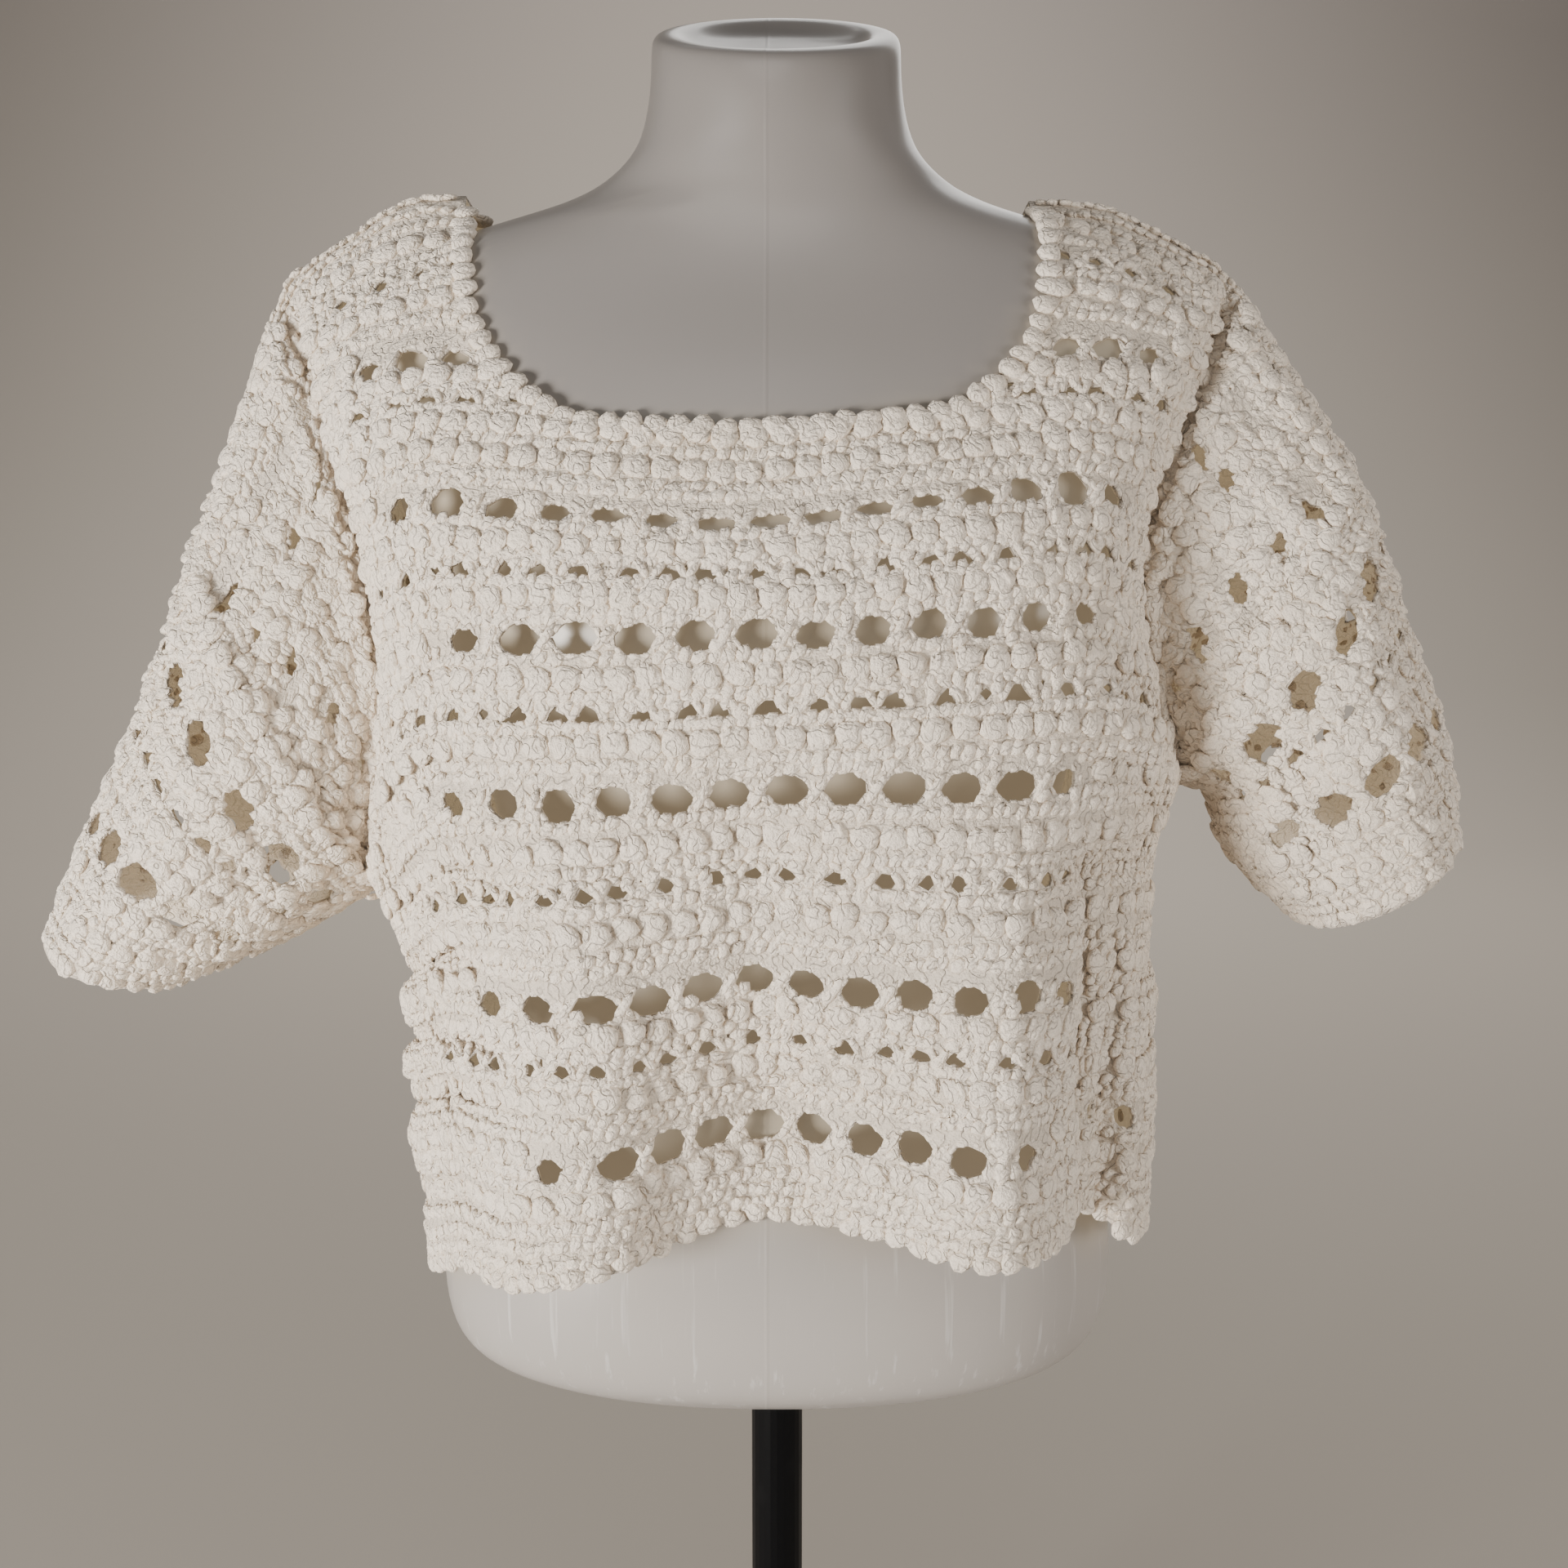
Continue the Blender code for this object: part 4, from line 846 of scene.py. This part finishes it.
def neckBorder(into, kind):  # knobs round the strap edges and the scoop of the neck
    depth, r, side, start = neckDepths[kind], cloth["neckCorner"], cloth["neckColumn"], 4

    def bend(middle, first, last):
        angles = [math.radians(a) for a in np.linspace(first, last, 24)]
        return [(middle + r * math.cos(a), depth - r + r * math.sin(a)) for a in angles]

    path = [(-side, v) for v in np.arange(start, depth - r, 1.0)] + bend(-side + r, 180, 90)
    path += [(u, depth) for u in np.arange(-side + r, side - r, 1.0)] + bend(side - r, 90, 0)
    path = np.array(path + [(side, v) for v in np.arange(depth - r, start, -1.0)])
    length = lengthsOf(into.patch.face(path[:, 0], path[:, 1])) / mm
    wanted = np.arange(5, length[-1] - 3, stitches["neck"]["pitch"])
    u = np.interp(wanted, length, path[:, 0])
    v = np.interp(wanted, length, path[:, 1])
    drift, *sizes = drawn("neck", len(u), "drift long wide tall turn base")
    into.lay(puffLump, u, v + drift, *sizes, swirl=True)


# Two strands cross between large eyelets that are close: long, wide, tall, which way, base
posts = {
    "strands": ((7.4, 1.7, 1.5, -1, -0.7), (8.0, 2.2, 1.8, 1, -0.1)),
    "lean": math.radians(-58), "wander": 0.12, "across": 30, "down": 4, "within": 190,
}


def edgeLoops(into, opening):  # loops of yarn round a large eyelet
    corners, u, v, wide, tall, _ = opening
    pull = into.patch.pull(u, v)
    points = np.array([(u + a * wide, v + b * tall) for a, b in corners])
    after = np.roll(points, -1, axis=0)
    length = np.concatenate(((0,), np.cumsum(np.hypot(*((after - points) * pull).T))))
    count = max(6, int(length[-1] / stitches["edge"]["pitch"]))
    where = (np.arange(count) + rng.uniform(0, 0.6)) / count * length[-1]
    loop = np.concatenate((points, points[:1]))
    side = np.minimum(np.searchsorted(length, where, side="right") - 1, len(points) - 1)
    run = (after[side] - points[side]) * pull
    turn = np.arctan2(run[:, 1], run[:, 0])
    uu = u + (np.interp(where, length, loop[:, 0]) - u) * stitches["edge"]["out"]
    vv = v + (np.interp(where, length, loop[:, 1]) - v) * stitches["edge"]["out"]
    long, wide, tall, base = drawn("edge", count, "long wide tall base")
    into.lay(loopLump, uu, vv, long, wide, tall, turn, base)


def eyeletStitches(into, openings):
    bigs = [o for o in openings if o.row == "big"]
    for here, beside in zip(bigs, bigs[1:] + [None]):
        edgeLoops(into, here)
        if beside is None or abs(here.u) > posts["within"]:
            continue
        if abs(beside.v - here.v) > posts["down"] or abs(beside.u - here.u) > posts["across"]:
            continue
        lean = posts["lean"] + rng.uniform(-posts["wander"], posts["wander"])
        middle = (here.u + beside.u) / 2, (here.v + beside.v) / 2
        for long, wide, tall, way, base in posts["strands"]:
            into.lay(loopLump, *middle, long, wide, tall, way * lean, base)


# Loops round a small eyelet, in mm: how far to both sides (0 is one in the middle), how far down,
# long, wide, tall, turn, base
smallLoops = (
    (5.1, -1.0, 5.2, 1.9, 1.6, 1.02, -0.1), (0, -5.2, 3.2, 1.8, 1.6, 0.3, -0.2),
    (3.8, 5.0, 4.2, 1.8, 1.6, -0.3, -0.2),
)


def smallStitches(into, openings):
    for opening in openings:
        if opening.row != "small":
            continue
        across, down = into.patch.pull(opening.u, opening.v)
        for aside, low, long, wide, tall, turn, base in smallLoops:
            sides = np.array((-1, 1) if aside else (1,))
            u, v = opening.u + sides * aside / across, opening.v + low / down
            into.lay(loopLump, u, v, long, wide, tall, sides * turn, base)


def stitchMeshes(kind, patch, plan, openings):
    knobs, loops, edges = Stitches(patch), Stitches(patch), Stitches(patch)
    for v, row in plan:
        if row == "chain":
            chainRow(loops, v)
        if row == "bobble":
            bobbleRow(knobs, v)
        if row == "border":
            knobRow(knobs, v, "border")
        if row == "small":
            chainRow(loops, v - 3, 1.6)
            chainRow(loops, v + 3, 1.6)
        if row == "big":  # where it has no eyelets it is worked like the others
            bobbleRow(knobs, v, 6.0)
            chainRow(loops, v - 6, 2.5)
            chainRow(loops, v + 6, 2.5)
    if kind in neckDepths:
        neckBorder(knobs, kind)
    shown = [o for o in openings if not inNeck(kind, o.u, o.v, 7.0)]
    eyeletStitches(edges, shown)
    smallStitches(edges, shown)
    return [knobs.mesh(kind + "_knobs"), loops.mesh(kind + "_chains"), edges.mesh(kind + "_eyelets")]


# Materials
class Wire:  # a socket that is written in sums
    def __init__(self, look, socket):
        self.look, self.socket = look, socket

    def maths(self, operation, first, second):
        return self.look.node("ShaderNodeMath", {"operation": operation}, {0: first, 1: second})

    def __add__(self, other):
        return self.maths("ADD", self, other)

    def __radd__(self, other):
        return self.maths("ADD", other, self)

    def __sub__(self, other):
        return self.maths("SUBTRACT", self, other)

    def __rsub__(self, other):
        return self.maths("SUBTRACT", other, self)

    def __mul__(self, other):
        return self.maths("MULTIPLY", self, other)

    def __rmul__(self, other):
        return self.maths("MULTIPLY", other, self)

    def __truediv__(self, other):
        return self.maths("DIVIDE", self, other)

    def __abs__(self):
        return self.look.node("ShaderNodeMath", {"operation": "ABSOLUTE"}, {0: self})


class Look:  # one material and its nodes
    def __init__(self, name, **fixed):
        self.material = bpy.data.materials.new(name)
        self.material.use_nodes = True
        self.tree = self.material.node_tree
        self.shader = self.tree.nodes["Principled BSDF"]
        for key, value in fixed.items():
            self.shader.inputs[key.replace("_", " ")].default_value = value

    def node(self, kind, settings, inputs, output=0):
        made = self.tree.nodes.new(kind)
        for key, value in settings.items():
            setattr(made, key, value)
        for key, value in inputs.items():
            if isinstance(value, Wire):
                self.tree.links.new(value.socket, made.inputs[key])
            else:
                made.inputs[key].default_value = value
        return Wire(self, made.outputs[output])

    def place(self):
        return self.node("ShaderNodeTexCoord", {}, {}, "Object")

    def split(self, place):  # each of its three numbers
        parts = self.node("ShaderNodeSeparateXYZ", {}, {"Vector": place})
        return [Wire(self, output) for output in parts.socket.node.outputs]

    def stretched(self, place, scale):
        return self.node("ShaderNodeMapping", {}, {"Vector": place, "Scale": scale})

    def attribute(self, name):
        return self.node("ShaderNodeAttribute", {"attribute_name": name}, {}, "Fac")

    def noise(self, scale, detail=2.0, where=None, rough=0.5):
        return self.node("ShaderNodeTexNoise", {}, {
            "Vector": where or self.place(), "Scale": scale, "Detail": detail, "Roughness": rough})

    def ramp(self, value, low, high):
        return self.node("ShaderNodeMapRange", {"clamp": True}, {
            "Value": value, "From Min": low, "From Max": high})

    def mix(self, share, first, second):
        return self.node("ShaderNodeMix", {"data_type": "RGBA"}, {0: share, 6: first, 7: second}, 2)

    def bump(self, height, strength, distance):
        made = self.node("ShaderNodeBump", {}, {
            "Height": height, "Strength": strength, "Distance": distance})
        self.tree.links.new(made.socket, self.shader.inputs["Normal"])

    def into(self, name, wire):
        self.tree.links.new(wire.socket, self.shader.inputs[name])


# Strands and plies are in cm along the stitch; the others are scales of noise, larger is finer. Lit and
# warm are the yarn's own colours, deep is painted shade, and the colour of the inside face is a painted
# glow
yarn = {
    "lit": (0.93, 0.825, 0.70, 1), "warm": (0.85, 0.735, 0.60, 1), "deep": (0.40, 0.34, 0.27, 1),
    "paintedGlow": (0.16, 0.128, 0.08, 1), "plyWide": 0.2, "plyLong": 0.6, "fibres": (2.6, 17.0, 1.0),
    "fuzz": 620.0, "clumps": 230.0, "creases": 170.0, "patches": 24.0, "bump": 0.0010,
}


def yarnLook():
    look = Look("yarn", Roughness=0.93, Sheen_Weight=0.2, Sheen_Roughness=0.5, Emission_Strength=1.0)
    look.shader.inputs["Specular IOR Level"].default_value = 0.2
    strand = look.node("ShaderNodeUVMap", {"uv_map": "strand"}, {})
    lengthwise, across, _ = look.split(strand)
    fuzz = look.noise(yarn["fuzz"], 2.0)
    clump = look.noise(yarn["clumps"], 1.0)
    fibre = look.noise(1.0, 1.0, look.stretched(strand, yarn["fibres"]))
    turns = across / yarn["plyWide"] + lengthwise / yarn["plyLong"] + clump * 0.9
    ply = look.node("ShaderNodeMath", {"operation": "SINE"}, {0: turns * (2 * math.pi)})
    strands = look.ramp(abs(look.noise(yarn["creases"], 1.0) - 0.5), 0.0, 0.045)  # 0 in the creases between strands, which take a painted shade and a dip
    toneAndShade = look.attribute("toneAndShade")
    patchy = look.ramp(look.noise(yarn["patches"], 1.0), 0.35, 0.7)
    light = look.mix(patchy * 0.4 + clump * 0.4, yarn["lit"], yarn["warm"])
    inside = look.ramp(toneAndShade, -0.2, -0.8)
    # painted shade: the deep colour between stitches, low on each lump, in narrow creases and between
    # strands; the inside face is kept lighter for its painted glow
    depth = look.ramp(toneAndShade, 0.05, 0.75) * (0.85 + 0.15 * strands) + inside * 0.6
    look.into("Base Color", look.mix(depth, yarn["deep"], light))
    # painted glow on the inside face, as of light coming through the yarn
    look.into("Emission Color", look.mix(inside, (0, 0, 0, 1), yarn["paintedGlow"]))
    look.bump(ply * 0.03 + fuzz * 1.3 + fibre * 0.45 + clump * 1.3 + strands * 0.6, 1.0, yarn["bump"])
    return look.material


# Colours of the plastic and heights in m, from and to, where one fades into the other; some are painted
# shade and light
form = {
    "bare": (0.275, 0.253, 0.238, 1), "cloudy": (0.245, 0.224, 0.206, 1),
    # painted shade: the neck colour darkens the plastic high up
    "neck": (0.16, 0.145, 0.133, 1), "neckFrom": 0.82, "neckTo": 0.92,
    # painted light: this colour lightens the plastic low down
    "litHips": (0.44, 0.405, 0.37, 1), "litHipsFrom": 0.50, "litHipsTo": 0.36,
    "scratch": (0.8, 0.79, 0.77, 1), "scratchFrom": 0.44, "scratchTo": 0.37,
    # painted shade and painted glow where cloth lies over the plastic, the first two colours below
    "under": (0.36, 0.31, 0.24, 1), "paintedGlow": (0.1, 0.085, 0.062, 1), "reach": 0.07,
    "seamAt": -0.004, "seamHalf": 0.0006, "bump": 0.0006,
}


def formLook():
    look = Look("form_plastic", Coat_Roughness=0.18, IOR=1.46, Emission_Strength=1.0)
    place = look.place()
    x, _, z = look.split(place)

    def height(name):
        return look.ramp(z, form[name + "From"], form[name + "To"])

    seam = look.ramp(abs(x - form["seamAt"]), form["seamHalf"] * 2, 0.0)
    streak = look.noise(260.0, 3.0, look.stretched(place, (1.0, 1.0, 0.02)), 0.6)
    scratch = look.ramp(streak, 0.60, 0.70) * height("scratch")
    cloudy = look.noise(9.0, 3.0)
    coveredShade = look.attribute("coveredShade")
    bare = look.mix(look.ramp(cloudy, 0.35, 0.7) * 0.4, form["bare"], form["cloudy"])
    # painted shade towards the neck
    bare = look.mix(height("neck") * 0.5, bare, form["neck"])
    # painted light towards the bottom
    bare = look.mix(height("litHips") * 0.85, bare, form["litHips"])
    bare = look.mix(scratch * 0.25, bare, form["scratch"])
    # painted shade and painted glow of the plastic beneath the cloth
    look.into("Base Color", look.mix(coveredShade, bare, form["under"]))
    look.into("Emission Color", look.mix(coveredShade, (0, 0, 0, 1), form["paintedGlow"]))
    look.into("Roughness", 0.27 + look.noise(40.0, 3.0) * 0.1 + scratch * 0.15)
    look.into("Coat Weight", 0.35 - 0.3 * coveredShade)
    look.bump(seam * 0.6 + scratch * 0.25 + cloudy * 0.4, 0.35, form["bump"])
    return look.material


steels = {
    "stand_pole": {"name": "pole_steel", "tint": (0.004, 0.004, 0.0044, 1), "rough": 0.34,
                   "grain": 900.0, "depth": 0.00003},
    "stand_base": {"name": "base_steel", "tint": (0.006, 0.006, 0.0064, 1), "rough": 0.42,
                   "grain": 700.0, "depth": 0.00006},
}


def metalLook(name, tint, rough, grain, depth):
    look = Look(name)
    look.shader.inputs["Specular IOR Level"].default_value = 0.1
    spots = look.noise(grain, 3.0)
    wear = look.ramp(look.noise(35.0, 4.0), 0.55, 0.8)
    look.into("Base Color", look.mix(wear * 0.35, tint, tuple(c * 2.2 for c in tint[:3]) + (1,)))
    look.into("Roughness", rough + wear * 0.14)
    look.bump(spots, 0.4, depth)
    return look.material


def paperLook(low, high):  # painted shade, darker towards the top and the right
    look = Look("paper", Roughness=0.85)
    x, _, z = look.split(look.place())
    share = look.ramp(z + x * 0.15 + look.noise(0.5, 1.0) * 0.3, -0.2, 3.4)
    look.into("Base Color", look.mix(share, low, high))
    return look.material


def dress(piece, material):
    piece.data.materials.clear()
    piece.data.materials.append(material)


def smoothForm():  # a finer form on the points of the part's own
    bpy.ops.object.select_all(action="DESELECT")
    piece = placed("torso_form_smooth", bpy.data.objects["torso_form"].data.copy())
    bpy.context.view_layer.objects.active = piece
    piece.select_set(True)
    bpy.ops.object.mode_set(mode="EDIT")
    bpy.ops.mesh.select_all(action="SELECT")
    bpy.ops.mesh.remove_doubles(threshold=0.00002)
    bpy.ops.mesh.tris_convert_to_quads(face_threshold=math.radians(60), shape_threshold=math.radians(60))
    bpy.ops.mesh.normals_make_consistent(inside=False)
    bpy.ops.object.mode_set(mode="OBJECT")
    soft = piece.modifiers.new("soft", "SUBSURF")
    soft.levels = soft.render_levels = 2
    bpy.ops.object.modifier_apply(modifier="soft")
    piece.data.shade_smooth()
    return piece


def coverForm(piece, patches):  # painted shade and a painted glow on the plastic where cloth lies over it
    trees = []
    half = cloth["cell"] / 2
    for kind, patch in patches.items():
        n = len(patch.u)
        faces = []
        for i in range(len(patch.v) - 1):
            for j in range(n - 1):
                if not inNeck(kind, patch.u[j] + half, patch.v[i] + half):
                    faces.append((i * n + j, i * n + j + 1, i * n + n + j + 1, i * n + n + j))
        trees.append(BVHTree.FromPolygons(patch.inner.reshape(-1, 3).tolist(), faces))
    mesh = piece.data
    coveredShade = np.zeros(len(mesh.vertices))
    for i, vertex in enumerate(mesh.vertices):
        for tree in trees:
            if tree.ray_cast(vertex.co, vertex.normal, form["reach"])[0] is not None:
                coveredShade[i] = 1.0
                break
    edges = np.array([e.vertices[:] for e in mesh.edges])
    for _ in range(2):
        total, count = coveredShade.copy(), np.ones(len(coveredShade))
        np.add.at(total, edges[:, 0], coveredShade[edges[:, 1]])
        np.add.at(total, edges[:, 1], coveredShade[edges[:, 0]])
        np.add.at(count, edges[:, 0], 1)
        np.add.at(count, edges[:, 1], 1)
        coveredShade = total / count
    layer = mesh.attributes.new("coveredShade", "FLOAT", "POINT")
    layer.data.foreach_set("value", coveredShade.astype(np.float32))


def setCamera():
    data = bpy.data.cameras.new("photo_view")
    data.lens, data.sensor_width = camera["lens"], camera["sensor"]
    data.clip_start = 0.01
    eye = placed("photo_view", data)
    eye.location = camera["place"]
    eye.rotation_euler = (math.radians(camera["tilt"]), 0.0, 0.0)
    bpy.context.scene.camera = eye


# A sweep of paper behind and below, in m, with the light of the room and its lamps. Each lamp
# has its place, what it is aimed at, its size in m, its power in watts and its colour
room = {
    # painted shade: the paper goes from the low colour to the darker high one up the sweep
    "size": 20.0, "behind": 6.0, "tall": 7.0, "bend": 3.0, "low": (0.43, 0.385, 0.332, 1),
    "high": (0.23, 0.204, 0.183, 1), "air": (1.0, 0.97, 0.94, 1), "airLight": 0.16,
}
lamps = {
    "window": ((-1.45, -1.3, 0.32), (0, 0, 0.48), 0.7, 66, (1.0, 0.975, 0.94)),
    "above": ((-0.2, -1.5, 1.9), (0, 0, 0.6), 1.2, 4, (1.0, 0.98, 0.95)),
    "fill": ((2.2, -1.2, 0.5), (0, 0, 0.48), 1.3, 38, (1.0, 0.96, 0.92)),
    "behind": ((0.9, 2.6, 2.8), (0, 0, 0.5), 2.4, 30, (1.0, 0.98, 0.95)),
    "wall_wash": ((0.0, 2.6, 4.2), (0, 6.0, 1.4), 2.0, 215, (1.0, 0.98, 0.95)),
}


def areaLight(name, place, aim, size, power, colour):
    data = bpy.data.lights.new(name, "AREA")
    data.shape = "DISK"
    data.size, data.energy, data.color = size, power, colour
    lamp = placed(name, data)
    lamp.location = place
    lamp.rotation_euler = (Vector(aim) - Vector(place)).to_track_quat("-Z", "Y").to_euler()


def selectEdges(piece, wanted):  # the edges whose ends are both wanted
    bpy.ops.mesh.select_all(action="DESELECT")
    shape = bmesh.from_edit_mesh(piece.data)
    for edge in shape.edges:
        if all(wanted(v) for v in edge.verts):
            edge.select_set(True)
    bmesh.update_edit_mesh(piece.data)


def studio():
    bpy.ops.object.select_all(action="DESELECT")
    half = room["size"] / 2
    bpy.ops.mesh.primitive_plane_add(size=room["size"], location=(0, room["behind"] - half, 0))
    sweep = bpy.context.object
    sweep.name = "paper_sweep"
    bpy.ops.object.mode_set(mode="EDIT")
    bpy.ops.mesh.select_mode(type="EDGE")
    selectEdges(sweep, lambda v: v.co.y > half - 0.1)
    bpy.ops.mesh.extrude_region_move(TRANSFORM_OT_translate={"value": (0, 0, room["tall"])})
    selectEdges(sweep, lambda v: v.co.y > half - 0.1 and v.co.z < 0.1)
    bpy.ops.mesh.bevel(offset=room["bend"], segments=32)
    bpy.ops.object.mode_set(mode="OBJECT")
    sweep.data.shade_smooth()
    dress(sweep, paperLook(room["low"], room["high"]))
    world = bpy.data.worlds.new("room")
    bpy.context.scene.world = world
    world.use_nodes = True
    world.node_tree.nodes["Background"].inputs[0].default_value = room["air"]
    world.node_tree.nodes["Background"].inputs[1].default_value = room["airLight"]
    for name, lamp in lamps.items():
        areaLight(name, *lamp)


setCamera()
studio()
print("camera, floor and lights set")

formPiece = smoothForm()
formTree = BVHTree.FromPolygons(
    [v.co.copy() for v in formPiece.data.vertices], [tuple(p.vertices) for p in formPiece.data.polygons])
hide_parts("torso_form")
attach(formPiece, "root")
print("form smoothed:", len(formPiece.data.polygons), "faces")

# Flat sizes in m and areas: a body panel less its neck, a sleeve's mean round by its mean length
yarnMaterial = yarnLook()
body = {"plan": bodyPlan, "flat": (0.6, 0.455)}
sleeve = {"plan": sleevePlan, "flat": (0.45, 0.198), "area": 0.375 * 0.152}
panels = {
    "front": {
        "patch": bodyPatch(frontRows, frontFolds, -1, formTree),
        "nodes": ("body_front",), "area": 0.6 * 0.455 - 0.207 * 0.113, **body,
    },
    "back": {
        "patch": bodyPatch(backRows, backFolds, 1, formTree),
        "nodes": ("body_back",), "area": 0.6 * 0.455 - 0.207 * 0.036, **body,
    },
    "sleeve_right": {
        "patch": sleevePatch(rightRings, 1), "nodes": ("sleeve_right_front", "sleeve_right_back"), **sleeve,
    },
    "sleeve_left": {
        "patch": sleevePatch(leftRings, -1), "nodes": ("sleeve_left_front", "sleeve_left_back"), **sleeve,
    },
}
print("cloth shapes worked out")

for kind, panel in panels.items():
    openings = openingsOf(kind, panel["plan"], panel["patch"])
    name = kind + "_cloth"
    ground = groundMesh(name, kind, panel["patch"], openings)
    details = stitchMeshes(kind, panel["patch"], panel["plan"], openings)
    for piece in [ground] + details:
        dress(piece, yarnMaterial)
        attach(piece, "root")
    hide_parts(*panel["nodes"])
    print(kind, [len(p.data.polygons) for p in [ground] + details])

coverForm(formPiece, {kind: panel["patch"] for kind, panel in panels.items()})
dress(formPiece, formLook())
for name, steel in steels.items():
    dress(bpy.data.objects[name], metalLook(**steel))
print("materials on")
